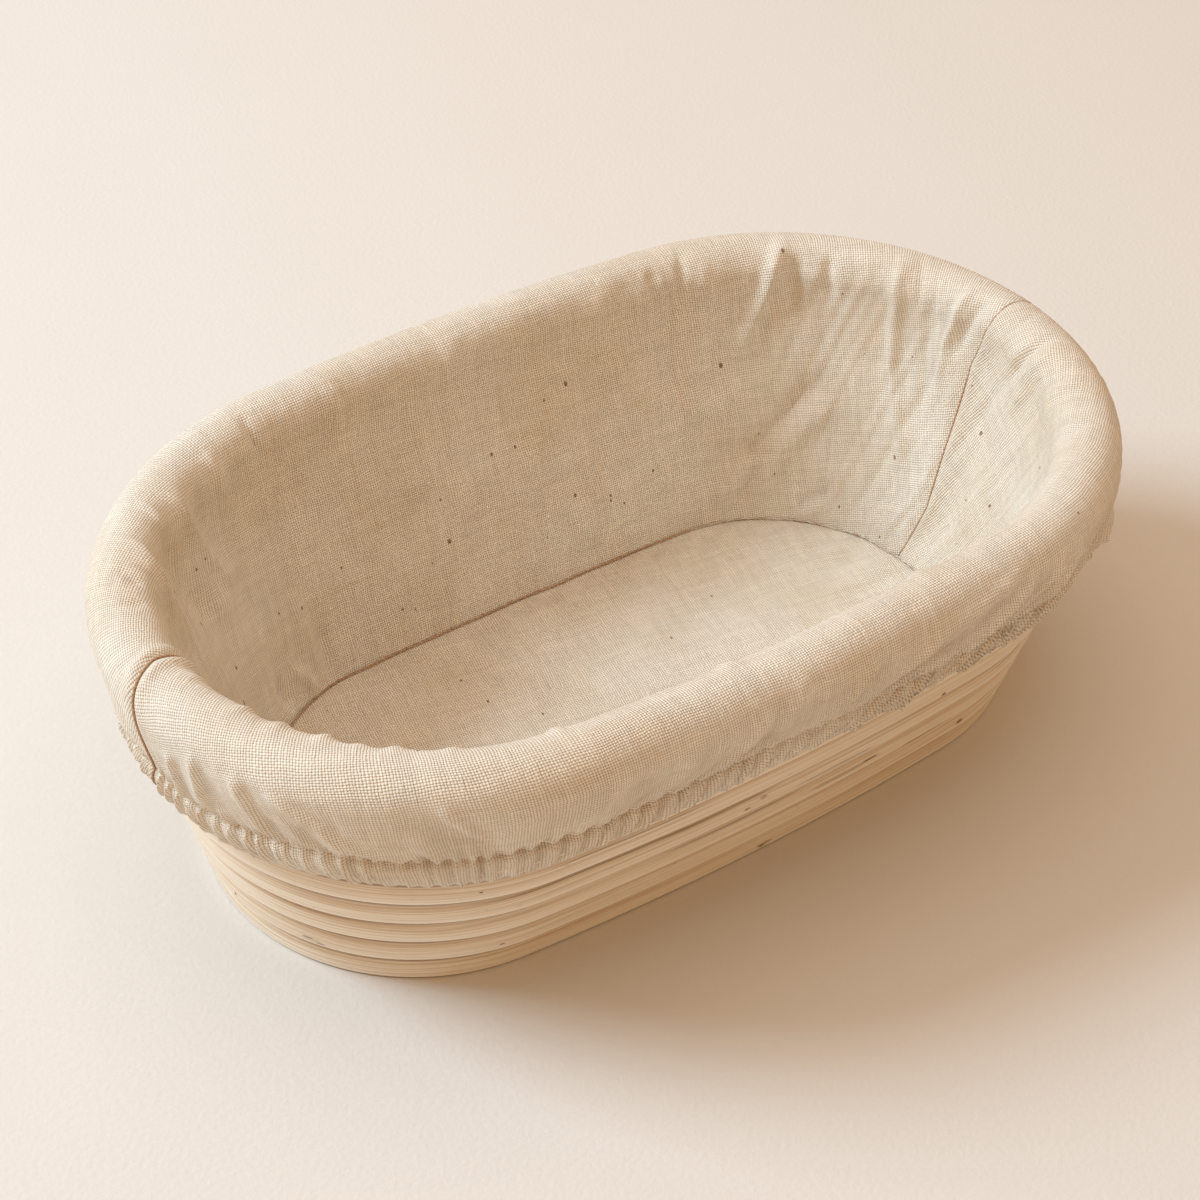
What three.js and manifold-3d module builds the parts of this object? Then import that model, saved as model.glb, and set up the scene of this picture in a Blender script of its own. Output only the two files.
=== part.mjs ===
// Oval proofing basket: cane wound into a base and a flared wall, with a gathered cloth liner.
// Millimetres, +Z up. The origin is the middle of the underside, +X runs along the length.
import * as THREE from "three";
import { mergeVertices } from "three/addons/utils/BufferGeometryUtils.js";
import Module from "manifold-3d";

const wasm = await Module();
wasm.setup();

// Bare basket: a four-arc oval at the foot and a wider one at the mouth.
// A share gives the radius of an oval's end arcs as part of its half width.
const FOOT_HALF_LENGTH = 106.1;
const FOOT_HALF_WIDTH = 52.5;
const FOOT_END_share = 0.955;
const MOUTH_HALF_LENGTH = 123.9;
const MOUTH_HALF_WIDTH = 78;
const MOUTH_END_share = 0.968;
const COURSES = 9;
const COURSE_PITCH = 8.4;

// Wall cane: a rounded band wound round and round, with a short climb in each turn
const CANE_WIDTH = 8;
const CANE_GAP = 0.5;
const CANE_CROWN = 1.4;
const SCARF_COURSE = 6;

// Base cane: the same winding laid flat round a straight middle cane
const HEART_HALF_WIDTH = 4.8;
const BASE_CANE_WIDTH = 7.6;
const BASE_THICKNESS = 6.4;
const BASE_CROWN = 0.8;

// Wire staples between neighbouring turns, and pins from the base into the wall
const STAPLE_WIRE = 0.8;
const STAPLE_LEG = 4.6;
const PIN_RADIUS = 0.5;
const PIN_LENGTH = 9;
const PIN_INSET = 2.9;
const BASE_PIN_FALL = 27;
const COURSE_PIN_FALL = 65;
const PIN_SIDES = 8;
const FIT_CLEARANCE = 0.3;

// Liner: cloth from the floor seam up the inside, round the rim and down to a gathered hem
const CLOTH = 0.8;
const SEAM_GAP = 1.1;
const THREAD = 0.5;
const FLOOR_END_CLEARANCE = 10.3;
const FLOOR_SIDE_CLEARANCE = 3.2;
const FLOOR_END_share = 0.985;
const ROLL_PADDING = 4.4;
const ROLL_STANDOFF = 2;
const ROLL_SIDE_SLACK = 0.9;
const HEM_CLEARANCE = 0.5;
const HEM_DROP = 25;
const HEM_HEIGHT = 8.6;
const ELASTIC = 0.8;
const ELASTIC_HEIGHT = 4.4;
const SKIRT_SLACK = 1.1;
const SKIRT_FOLD = 1.2;
const HEM_FOLD = 0.5;
const INNER_FOLD = 1.4;
const INNER_FOLD_COUNT = 11;
const BELLY_shares = [1 / 3, 2 / 3];
const SKIRT_MIDDLE_share = 0.55;
const CUFF_share = 0.2;

// Steps along a quarter of an oval: its end arc, then its long side arc
const END_STEPS = 6;
const SIDE_STEPS = 2;
const QUARTER = END_STEPS + SIDE_STEPS;
const LOOP = 4 * QUARTER;
const HALF_LOOP = 2 * QUARTER;
const CLOTH_STEP_share = 0.5;
const CLIMB_STEPS = 2;
const CLIMB_END = QUARTER + 1;
const SCARF_STATION = 4;
const TIP_share = 0.25;
const ROLL_STEPS = 6;
const OVERRUN = 2;

const WALL_HEIGHT = COURSES * COURSE_PITCH - CANE_GAP;
const CANE_HEIGHT = COURSE_PITCH - CANE_GAP;
const FLOOR_UNDER = BASE_THICKNESS + STAPLE_WIRE + 2 * FIT_CLEARANCE;
const SEAM_Z = FLOOR_UNDER + CLOTH / 2;
const ROLL_RADIUS = CANE_WIDTH / 2 + ROLL_PADDING;
const ROLL_Z = WALL_HEIGHT - CANE_HEIGHT / 2;
const HEM_BOTTOM = ROLL_Z - HEM_DROP;
const HEM_TOP = HEM_BOTTOM + HEM_HEIGHT;

// Colours of the cane, the wire, the cloth and its thread
const cane = new THREE.MeshStandardMaterial({ color: "#d8b988", roughness: 0.62 });
const paleCane = new THREE.MeshStandardMaterial({ color: "#e2c89c", roughness: 0.6 });
const wire = new THREE.MeshStandardMaterial({ color: "#9a9a98", roughness: 0.35, metalness: 1 });
const cloth = new THREE.MeshStandardMaterial({ color: "#d9c7ab", roughness: 0.95 });
const floorCloth = new THREE.MeshStandardMaterial({ color: "#dccbb0", roughness: 0.95 });
const thread = new THREE.MeshStandardMaterial({ color: "#7d5836", roughness: 0.9 });
const rubber = new THREE.MeshStandardMaterial({ color: "#f1ece0", roughness: 0.8 });

const basket = new THREE.Group();
const liner = new THREE.Group();
const root = new THREE.Group();
root.add(basket, liner);

function add(group, name, geometry, material) {
  const mesh = new THREE.Mesh(geometry, material);
  mesh.name = name;
  group.add(mesh);
  return mesh;
}

// Ovals: half length a, half width b and end radius r; an offset of one is an oval again
function oval(a, b, r) {
  const side = ((a - r) ** 2 + b * b - r * r) / (2 * (b - r));
  return { a, b, r, side, reach: a - r, drop: side - b, turn: Math.atan2(side - b, a - r) };
}

function between(low, high, share) {
  const mix = THREE.MathUtils.lerp;
  return oval(mix(low.a, high.a, share), mix(low.b, high.b, share), mix(low.r, high.r, share));
}

function grown(base, offset) {
  return oval(base.a + offset, base.b + offset, base.r + offset);
}

// Point and outward normal of an oval at a station, counted anticlockwise from +X
function station(shape, steps) {
  const turned = ((steps % LOOP) + LOOP) % LOOP;
  const quarter = Math.floor(turned / QUARTER);
  const along = quarter % 2 ? QUARTER - (turned % QUARTER) : turned % QUARTER;
  const onEnd = along <= END_STEPS;
  const angle = onEnd
    ? (shape.turn * along) / END_STEPS
    : shape.turn + ((Math.PI / 2 - shape.turn) * (along - END_STEPS)) / SIDE_STEPS;
  const flipX = quarter === 1 || quarter === 2 ? -1 : 1;
  const flipY = quarter > 1 ? -1 : 1;
  const normal = new THREE.Vector3(flipX * Math.cos(angle), flipY * Math.sin(angle), 0);
  const radius = onEnd ? shape.r : shape.side;
  const centre = new THREE.Vector3(
    onEnd ? flipX * shape.reach : 0,
    onEnd ? 0 : -flipY * shape.drop,
    0,
  );
  return { point: centre.addScaledVector(normal, radius), normal };
}

function at(shape, steps, offset, z) {
  const { point, normal } = station(shape, steps);
  return point.addScaledVector(normal, offset).setZ(z);
}

const foot = oval(FOOT_HALF_LENGTH, FOOT_HALF_WIDTH, FOOT_HALF_WIDTH * FOOT_END_share);
const mouth = oval(MOUTH_HALF_LENGTH, MOUTH_HALF_WIDTH, MOUTH_HALF_WIDTH * MOUTH_END_share);
const wallAt = (z) => between(foot, mouth, z / WALL_HEIGHT);

// Each course stands out from the one below, and its lower edge by this much from the wall's slope
const flare = Math.max(mouth.a - foot.a, mouth.b - foot.b) / WALL_HEIGHT;
const lip = Math.max((flare * CANE_HEIGHT) / 2 - CANE_CROWN, 0);

// Solids lofted through sections that all have the same number of corners
function loft(sections, closed) {
  const corners = sections[0].length;
  const positions = sections.flat().flatMap((p) => [p.x, p.y, p.z]);
  const faces = [];
  const spans = closed ? sections.length : sections.length - 1;
  for (let s = 0; s < spans; s++) {
    const here = s * corners;
    const next = ((s + 1) % sections.length) * corners;
    for (let c = 0; c < corners; c++) {
      const d = (c + 1) % corners;
      faces.push(here + c, next + c, next + d, here + c, next + d, here + d);
    }
  }
  if (!closed) {
    const last = (sections.length - 1) * corners;
    for (let c = 0; c < corners / 2 - 1; c++) {
      const [i, j, k, l] = [c, c + 1, corners - 2 - c, corners - 1 - c];
      faces.push(i, j, k, i, k, l);
      faces.push(last + i, last + k, last + j, last + i, last + l, last + k);
    }
  }
  const geometry = new THREE.BufferGeometry();
  geometry.setAttribute("position", new THREE.Float32BufferAttribute(positions, 3));
  geometry.setIndex(faces);
  return geometry;
}

// A flat oval plate, with a corner at each step
function plate(shape, step, low, high) {
  const outline = [];
  for (let s = 0; s < LOOP; s += step) outline.push(s - QUARTER / 2);
  return loft([high, low].map((z) => outline.map((s) => at(shape, s, 0, z))), false);
}

// Solids for cutting
function solid(geometry) {
  const bare = geometry.clone();
  bare.deleteAttribute("normal");
  bare.deleteAttribute("uv");
  const merged = mergeVertices(bare);
  const made = new wasm.Mesh({
    numProp: 3,
    vertProperties: new Float32Array(merged.attributes.position.array),
    triVerts: new Uint32Array(merged.index.array),
  });
  return new wasm.Manifold(made);
}

function cutFrom(mesh, tools) {
  const body = tools.reduce((left, tool) => left.subtract(solid(tool)), solid(mesh.geometry));
  const { vertProperties, triVerts } = body.getMesh();
  const geometry = new THREE.BufferGeometry();
  geometry.setAttribute("position", new THREE.BufferAttribute(vertProperties, 3));
  geometry.setIndex(new THREE.BufferAttribute(triVerts, 1));
  geometry.computeVertexNormals();
  mesh.geometry = geometry;
}

// How a cane lies in its winding: level turns, each with a climb of one pitch at its end.
// The first turn starts as a wedge under that climb and the last one ends as a wedge over it.
function layer(steps, turns, pitch) {
  const turn = Math.floor(steps / LOOP);
  const climb = Math.max((steps - turn * LOOP - LOOP + CLIMB_STEPS) / CLIMB_STEPS, 0);
  const level = (turn + climb) * pitch;
  return {
    low: Math.max(level, 0),
    high: Math.min(level + pitch, turns * pitch) - CANE_GAP,
    level: THREE.MathUtils.clamp(level, 0, (turns - 1) * pitch),
  };
}

function stepsBetween(start, end) {
  const inner = [];
  for (let s = Math.floor(start) + 1; s < end; s++) inner.push(s);
  return [start, ...inner, end];
}

function wallSection(steps, level, low, high) {
  const middle = (low + high) / 2;
  const shape = wallAt(level + CANE_HEIGHT / 2);
  const face = wallAt(Math.min(middle, level + CANE_HEIGHT / 2));
  const inside = CANE_CROWN - CANE_WIDTH;
  return [
    [face, 0, middle],
    [shape, -CANE_CROWN, high],
    [shape, inside, high],
    [shape, -CANE_WIDTH, middle],
    [shape, inside, low],
    [shape, -CANE_CROWN, low],
  ].map(([line, offset, z]) => at(line, steps + CLIMB_END, offset, z));
}

// Inside the first course the base is wound on offsets of one oval
const firstCourse = wallAt(CANE_HEIGHT / 2);
const baseReach = firstCourse.b - CANE_WIDTH - CANE_GAP - HEART_HALF_WIDTH;
const baseTurns = Math.round(baseReach / (BASE_CANE_WIDTH + CANE_GAP));
const basePitch = baseReach / baseTurns;
const baseInside = -(CANE_WIDTH + baseReach);

function baseSection(steps, low, high) {
  const crown = Math.min(BASE_CROWN, (high - low) / 4);
  const middle = BASE_THICKNESS / 2;
  return [
    [high, middle],
    [high - crown, BASE_THICKNESS],
    [low + crown, BASE_THICKNESS],
    [low, middle],
    [low + crown, 0],
    [high - crown, 0],
  ].map(([offset, z]) => at(firstCourse, steps + CLIMB_END, baseInside + offset, z));
}

// The scarf where one wall cane ends on the next one's start
const scarfStart = SCARF_COURSE * LOOP + SCARF_STATION;
const scarfTip = CLIMB_STEPS * TIP_share;

function lowerCane(steps) {
  const { low, high, level } = layer(steps, COURSES, COURSE_PITCH);
  const left = Math.min(1 - (steps - scarfStart) / CLIMB_STEPS, 1);
  const cut = left < 1 ? CANE_GAP / 2 : 0;
  return wallSection(steps, level, low, low + (high - low) * left - cut);
}

function upperCane(steps) {
  const { low, high, level } = layer(steps, COURSES, COURSE_PITCH);
  const left = Math.max(1 - (steps - scarfStart) / CLIMB_STEPS, 0);
  const cut = left > 0 ? CANE_GAP / 2 : 0;
  return wallSection(steps, level, low + (high - low) * left + cut, high);
}

const caneStart = scarfTip - CLIMB_STEPS;
const lowerSteps = stepsBetween(caneStart, scarfStart + CLIMB_STEPS - scarfTip);
const upperSteps = stepsBetween(scarfStart + scarfTip, COURSES * LOOP - scarfTip);
const baseSteps = stepsBetween(caneStart, baseTurns * LOOP - scarfTip);
const baseSections = baseSteps.map((s) => {
  const { low, high } = layer(s, baseTurns, basePitch);
  return baseSection(s, low, high);
});
const windings = {
  base_coil: [baseSteps, baseSections, paleCane],
  lower_wall_cane: [lowerSteps, lowerSteps.map(lowerCane), cane],
  upper_wall_cane: [upperSteps, upperSteps.map(upperCane), cane],
};
const canes = {};
for (const [name, [, sections, material]] of Object.entries(windings))
  canes[name] = add(basket, name, loft(sections, false), material);

// Straight middle cane, a slim oval as long as the first turn of the base leaves
const heartOval = grown(firstCourse, baseInside - CANE_GAP);
canes.heart_cane = add(basket, "heart_cane", plate(heartOval, 1, 0, BASE_THICKNESS), paleCane);

// Frame of a fastener: its crown runs along u, it is driven against w
function fastenerFrame(centre, u, w) {
  const v = w.clone().cross(u).normalize();
  return new THREE.Matrix4().makeBasis(u, v, w).setPosition(centre);
}

const cuts = { heart_cane: [], base_coil: [], lower_wall_cane: [], upper_wall_cane: [] };

function staple(name, ends, outOfCane, seat, owners) {
  const along = ends[1].clone().sub(ends[0]);
  const span = along.length();
  const u = along.normalize();
  const w = outOfCane.clone().addScaledVector(u, -outOfCane.dot(u)).normalize();
  const centre = ends[0].clone().add(ends[1]).divideScalar(2);
  const outer = (span + STAPLE_WIRE) / 2;
  const inner = (span - STAPLE_WIRE) / 2;
  const top = seat + STAPLE_WIRE;
  const outline = new THREE.Shape(
    [
      [-outer, -STAPLE_LEG],
      [-inner, -STAPLE_LEG],
      [-inner, seat],
      [inner, seat],
      [inner, -STAPLE_LEG],
      [outer, -STAPLE_LEG],
      [outer, top],
      [-outer, top],
    ].map(([x, y]) => new THREE.Vector2(x, y)),
  );
  const geometry = new THREE.ExtrudeGeometry(outline, { depth: STAPLE_WIRE, bevelEnabled: false });
  geometry.translate(0, 0, -STAPLE_WIRE / 2).rotateX(Math.PI / 2);
  const mesh = add(basket, name, geometry, wire);
  const frame = fastenerFrame(centre, u, w);
  mesh.applyMatrix4(frame);
  const bore = STAPLE_WIRE + 2 * FIT_CLEARANCE;
  const depth = STAPLE_LEG + FIT_CLEARANCE + OVERRUN;
  owners.forEach((owner, i) => {
    const slot = new THREE.BoxGeometry(bore, bore, depth);
    slot.translate((i ? 1 : -1) * (span / 2), 0, OVERRUN - depth / 2);
    cuts[owner].push(slot.applyMatrix4(frame));
  });
}

// Middle of the inner face of a course, half way along a step
function innerFace(course, step) {
  const z = course * COURSE_PITCH + CANE_HEIGHT / 2;
  const ends = [step, step + 1].map((s) => at(wallAt(z), s, -CANE_WIDTH, z));
  return ends[0].add(ends[1]).divideScalar(2);
}

function inwards(shape, step) {
  const tangent = at(shape, step + 1, 0, 0).sub(at(shape, step, 0, 0)).normalize();
  return new THREE.Vector3(-tangent.y, tangent.x, 0);
}

// Two staples hold each joint of the wall, on opposite sides and staggered from joint to joint
const WALL_STAPLE_STEPS = [12, 28, 2, 29, 25, 3, 22, 12];
for (let joint = 1; joint < COURSES - 1; joint++)
  [0, HALF_LOOP].forEach((across, side) => {
    const step = (WALL_STAPLE_STEPS[joint % WALL_STAPLE_STEPS.length] + across) % LOOP;
    const ends = [innerFace(joint, step), innerFace(joint + 1, step)];
    const fromClimb = (step - CLIMB_END + LOOP) % LOOP;
    const owners = [joint, joint + 1].map((course) =>
      course * LOOP + fromClimb < scarfStart ? "lower_wall_cane" : "upper_wall_cane",
    );
    const name = `wall_staple_${joint + 1}${"ab"[side]}`;
    staple(name, ends, inwards(mouth, step), lip + FIT_CLEARANCE, owners);
  });

// Two staples hold each joint of the base, with their crowns on its upper face
const BASE_STAPLE_STEPS = [25, 4, 29, 2, 30];
const up = new THREE.Vector3(0, 0, 1);
for (let joint = 0; joint < baseTurns; joint++)
  [0, HALF_LOOP].forEach((across, side) => {
    const step = BASE_STAPLE_STEPS[joint % BASE_STAPLE_STEPS.length] + across;
    const middleOfTurn = (turn) => {
      const offset = baseInside + (turn - 0.5) * basePitch - CANE_GAP / 2;
      const ends = [step, step + 1].map((s) => at(firstCourse, s, 0, BASE_THICKNESS));
      const middle = ends[0].add(ends[1]).divideScalar(2);
      return middle.addScaledVector(inwards(firstCourse, step), -offset);
    };
    const owners = [joint ? "base_coil" : "heart_cane", "base_coil"];
    const ends = [middleOfTurn(joint), middleOfTurn(joint + 1)];
    staple(`base_staple_${joint + 1}${"ab"[side]}`, ends, up, FIT_CLEARANCE, owners);
  });

// Slanted pins, driven from inside, tie the base to the first course and that to the second
function pin(name, head, inward, fallDegrees, owners) {
  const fall = THREE.MathUtils.degToRad(fallDegrees);
  const w = inward.clone().multiplyScalar(Math.cos(fall)).addScaledVector(up, Math.sin(fall));
  const u = new THREE.Vector3().crossVectors(up, w).normalize();
  const frame = fastenerFrame(head, u, w);
  const rod = (radius, top, bottom) =>
    new THREE.CylinderGeometry(radius, radius, top - bottom, PIN_SIDES)
      .rotateX(Math.PI / 2)
      .translate(0, 0, (top + bottom) / 2)
      .applyMatrix4(frame);
  add(basket, name, rod(PIN_RADIUS, 0, -PIN_LENGTH), wire);
  const bore = PIN_RADIUS + FIT_CLEARANCE;
  for (const owner of owners) cuts[owner].push(rod(bore, PIN_INSET, -PIN_LENGTH - FIT_CLEARANCE));
}

const BASE_PIN_STEPS = [4, 11, 20, 27];
BASE_PIN_STEPS.forEach((step, i) => {
  const inward = inwards(firstCourse, step);
  const ends = [step, step + 1].map((s) => at(firstCourse, s, 0, BASE_THICKNESS));
  const head = ends[0].add(ends[1]).divideScalar(2);
  head.addScaledVector(inward, CANE_WIDTH + CANE_GAP + PIN_INSET);
  pin(`base_pin_${i + 1}`, head, inward, BASE_PIN_FALL, ["base_coil", "lower_wall_cane"]);
});
const COURSE_PIN_STEPS = [1, 14, 17, 30];
COURSE_PIN_STEPS.forEach((step, i) => {
  const inward = inwards(mouth, step);
  pin(`course_pin_${i + 1}`, innerFace(1, step), inward, COURSE_PIN_FALL, ["lower_wall_cane"]);
});
for (const [name, tools] of Object.entries(cuts)) cutFrom(canes[name], tools);

// Liner: ovals of the floor seam and of the middle of the roll round the rim
const floorLength = wallAt(SEAM_Z).a - CANE_WIDTH - FLOOR_END_CLEARANCE;
const floorWidth = wallAt(SEAM_Z).b - CANE_WIDTH - FLOOR_SIDE_CLEARANCE;
const floorOval = oval(floorLength, floorWidth, floorWidth * FLOOR_END_share);
const rimOval = wallAt(ROLL_Z);
const rollOval = oval(
  rimOval.a + ROLL_STANDOFF - ROLL_RADIUS,
  rimOval.b + ROLL_STANDOFF + ROLL_SIDE_SLACK - ROLL_RADIUS,
  rimOval.r + ROLL_STANDOFF + ROLL_SIDE_SLACK - ROLL_RADIUS,
);
const innerRollOval = grown(rollOval, -ROLL_RADIUS);
const innerLayer = lip + HEM_CLEARANCE + CLOTH / 2;
const elasticLayer = innerLayer + CLOTH / 2 + FIT_CLEARANCE + ELASTIC / 2;
const outerLayer = elasticLayer + ELASTIC / 2 + FIT_CLEARANCE + CLOTH / 2;

// The cloth's middle surface at a station, from the floor seam to the turned-up hem edge
function clothRun(steps) {
  const fine = Math.round(steps / CLOTH_STEP_share);
  const edge = at(floorOval, steps, (SEAM_GAP + CLOTH) / 2, SEAM_Z);
  const rollStart = at(innerRollOval, steps, CLOTH / 2, ROLL_Z);
  const { normal } = station(rollOval, steps);
  const run = [edge];
  BELLY_shares.forEach((share, i) => {
    const wave = Math.cos((2 * Math.PI * INNER_FOLD_COUNT * steps) / LOOP + i);
    const ends = Math.abs(normal.x) * Math.sin((Math.PI * steps) / HALF_LOOP) ** 2;
    const inward = INNER_FOLD * Math.max(wave, 0) * ends;
    run.push(edge.clone().lerp(rollStart, share).addScaledVector(normal, -inward));
  });
  const middle = ROLL_RADIUS - CLOTH / 2;
  for (let i = ROLL_STEPS; i >= 0; i--) {
    const angle = (Math.PI * i) / ROLL_STEPS;
    run.push(at(rollOval, steps, middle * Math.cos(angle), ROLL_Z + middle * Math.sin(angle)));
  }
  const skirtZ = THREE.MathUtils.lerp(HEM_TOP, ROLL_Z, SKIRT_MIDDLE_share);
  const skirtFold = fine % 2 ? SKIRT_FOLD : 0;
  run.push(at(wallAt(skirtZ), steps, outerLayer + SKIRT_SLACK / 2 + skirtFold, skirtZ));
  run.push(at(wallAt(HEM_TOP), steps, outerLayer, HEM_TOP));
  const cuff = HEM_BOTTOM + HEM_HEIGHT * CUFF_share;
  const hemFold = fine % 2 ? 0 : HEM_FOLD;
  run.push(at(wallAt(cuff), steps, outerLayer + hemFold, cuff));
  run.push(at(wallAt(HEM_BOTTOM), steps, elasticLayer, HEM_BOTTOM + CLOTH / 2));
  run.push(at(wallAt(cuff), steps, innerLayer, cuff));
  run.push(at(wallAt(HEM_TOP), steps, innerLayer, HEM_TOP));
  return run;
}

// Outline of a sheet or thread of one thickness round a run of points
function thicken(run, outward, thickness) {
  const front = [];
  const back = [];
  run.forEach((point, i) => {
    const along = run[Math.min(i + 1, run.length - 1)].clone().sub(run[Math.max(i - 1, 0)]);
    const rise = along.z;
    const across = along.dot(outward);
    const half = thickness / 2 / Math.hypot(rise, across);
    const side = outward.clone().multiplyScalar(rise * half).setZ(-across * half);
    front.push(point.clone().add(side));
    back.unshift(point.clone().sub(side));
  });
  return [...front, ...back];
}

function clothSection(steps, shift) {
  const outline = thicken(clothRun(steps), station(rollOval, steps).normal, CLOTH);
  return outline.map((p) => p.setY(p.y + shift));
}

// Each side panel covers half of the oval, from end seam to end seam
for (const [name, start, side] of [
  ["far_side_panel", 0, 1],
  ["near_side_panel", HALF_LOOP, -1],
]) {
  const sections = [];
  const count = HALF_LOOP / CLOTH_STEP_share;
  for (let i = 0; i <= count; i++) {
    const atSeam = i === 0 || i === count;
    sections.push(clothSection(start + i * CLOTH_STEP_share, atSeam ? (side * SEAM_GAP) / 2 : 0));
  }
  add(liner, name, loft(sections, false), cloth);
}

function around(section) {
  const sections = [];
  for (let s = 0; s < LOOP; s += CLOTH_STEP_share) sections.push(section(s));
  return loft(sections, true);
}

// A ring of rectangular section round an oval
function band(shape, offset, width, low, high) {
  return around((s) => [
    at(shape(high), s, offset + width / 2, high),
    at(shape(high), s, offset - width / 2, high),
    at(shape(low), s, offset - width / 2, low),
    at(shape(low), s, offset + width / 2, low),
  ]);
}

const floorPanelOval = grown(floorOval, -SEAM_GAP / 2);
const floorPlate = plate(floorPanelOval, CLOTH_STEP_share, FLOOR_UNDER, FLOOR_UNDER + CLOTH);
add(liner, "floor_panel", floorPlate, floorCloth);

// Elastic in the hem, the gathering thread above it and the thread of the floor seam
const elasticLow = (HEM_BOTTOM + CLOTH + HEM_TOP - ELASTIC_HEIGHT) / 2;
add(
  liner,
  "hem_elastic",
  band(wallAt, elasticLayer, ELASTIC, elasticLow, elasticLow + ELASTIC_HEIGHT),
  rubber,
);
const gatherLayer = outerLayer + CLOTH / 2 + FIT_CLEARANCE + THREAD / 2;
add(
  liner,
  "hem_thread",
  band(wallAt, gatherLayer, THREAD, HEM_TOP - THREAD / 2, HEM_TOP + THREAD / 2),
  thread,
);
add(
  liner,
  "floor_seam_thread",
  band(() => floorOval, 0, THREAD, SEAM_Z - THREAD / 2, SEAM_Z + THREAD / 2),
  thread,
);

// End seams: a thread between the side panels from the floor seam to the hem
for (const [name, steps] of [
  ["right_end_seam_thread", 0],
  ["left_end_seam_thread", HALF_LOOP],
]) {
  const outline = thicken(clothRun(steps), station(rollOval, steps).normal, THREAD);
  const sides = [-THREAD / 2, THREAD / 2].map((y) => outline.map((p) => p.clone().setY(y)));
  if (steps) sides.reverse();
  add(liner, name, loft(sides, false), thread);
}

// Least gap of each winding to itself, between points on the faces of turns that lie side by side
const GAP_SAMPLES = 12;
function facePoints(section) {
  return section.flatMap((corner, i) => {
    const next = section[(i + 1) % section.length];
    return Array.from({ length: GAP_SAMPLES }, (_, n) => corner.clone().lerp(next, n / GAP_SAMPLES));
  });
}

function leastGap(sections) {
  const points = sections.map(facePoints);
  let least = Infinity;
  for (let s = 0; s + LOOP < points.length; s++)
    for (const p of points[s])
      for (const q of points[s + LOOP]) least = Math.min(least, p.distanceTo(q));
  return least;
}
for (const [name, [, sections]] of Object.entries(windings))
  console.log(name, "least gap to itself", leastGap(sections).toFixed(2), "mm");

export default root;
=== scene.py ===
"""Oval proofing basket: cane wound into a base and a flared wall, with a gathered cloth liner."""

import math

import bpy
import numpy as np
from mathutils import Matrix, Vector


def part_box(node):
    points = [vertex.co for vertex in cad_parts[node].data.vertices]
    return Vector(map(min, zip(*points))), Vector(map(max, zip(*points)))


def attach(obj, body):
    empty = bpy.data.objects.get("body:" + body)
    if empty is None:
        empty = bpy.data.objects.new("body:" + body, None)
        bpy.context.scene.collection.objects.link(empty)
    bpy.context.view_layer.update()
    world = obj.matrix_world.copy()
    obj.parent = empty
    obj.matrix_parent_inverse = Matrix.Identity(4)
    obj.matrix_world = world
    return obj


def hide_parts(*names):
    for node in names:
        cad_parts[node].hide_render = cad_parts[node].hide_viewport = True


bl_info = {
    "name": "Proofing basket",
    "version": (1, 0, 0),
    "blender": (4, 5, 0),
    "location": "3D View > Sidebar > Basket",
    "description": "Builds an oval cane proofing basket with a gathered cloth liner",
    "category": "Add Mesh",
}

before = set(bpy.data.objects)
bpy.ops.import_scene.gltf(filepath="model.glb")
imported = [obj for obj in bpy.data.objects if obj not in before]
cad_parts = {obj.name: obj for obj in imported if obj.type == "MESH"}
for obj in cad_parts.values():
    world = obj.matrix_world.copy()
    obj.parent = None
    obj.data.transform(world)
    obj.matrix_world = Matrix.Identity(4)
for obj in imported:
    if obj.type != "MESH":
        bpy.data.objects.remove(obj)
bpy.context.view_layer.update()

# Steps round an oval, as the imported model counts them: end arc, then long side, four times
END_STEPS = 6
SIDE_STEPS = 2
QUARTER = END_STEPS + SIDE_STEPS
LOOP = 4 * QUARTER
HALF_LOOP = 2 * QUARTER
CLIMB_STEPS = 2
CLIMB_END = QUARTER + 1
TIP = 0.25


def amount(value, description, **kind):
    return bpy.props.FloatProperty(description=description, default=value, **kind)


def length(metres, description):
    return amount(metres, description, min=0, unit="LENGTH", subtype="DISTANCE", precision=5)


def angle(degrees, description):
    return amount(math.radians(degrees), description, subtype="ANGLE")


def factor(value, description):
    return amount(value, description, min=0, max=1, subtype="FACTOR")


def colour(rgb, description):
    return bpy.props.FloatVectorProperty(
        description=description, default=rgb, min=0, max=1, size=3, subtype="COLOR"
    )


def number(value, description):
    return bpy.props.IntProperty(description=description, default=value, min=1)


class BasketSizes(bpy.types.PropertyGroup):
    """Sizes of the wound cane"""

    foot_half_length: length(0.1061, "Half length of the foot's oval")
    foot_half_width: length(0.0525, "Half width of the foot's oval")
    foot_end: factor(0.955, "Radius of the foot's end arcs as part of its half width")
    mouth_half_length: length(0.1239, "Half length of the bare mouth")
    mouth_half_width: length(0.078, "Half width of the bare mouth")
    mouth_end: factor(0.968, "Radius of the mouth's end arcs, part of its half width")
    courses: number(9, "Turns of cane in the wall")
    course_pitch: length(0.0084, "Height from one turn of the wall to the next")
    wall_height: length(0.0751, "Height over which the wall flares")
    cane_width: length(0.008, "Depth of the wall's cane")
    cane_height: length(0.00822, "Height of the wall's cane")
    cane_crown: length(0.0006, "How far the cane's outer face bulges")
    lower_edge: length(0.0007, "Radius of the cane's lower outer edge")
    upper_edge: length(0.0016, "Radius of the cane's other edges")
    scarf_course: number(6, "Turns below the joint of the two wall canes")
    base_turns: number(5, "Turns of the base's cane")
    base_thickness: length(0.0064, "Thickness of the base")
    base_gap: length(0.0003, "Gap between turns of the base")
    heart_half_width: length(0.0048, "Half width of the straight middle cane")


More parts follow.
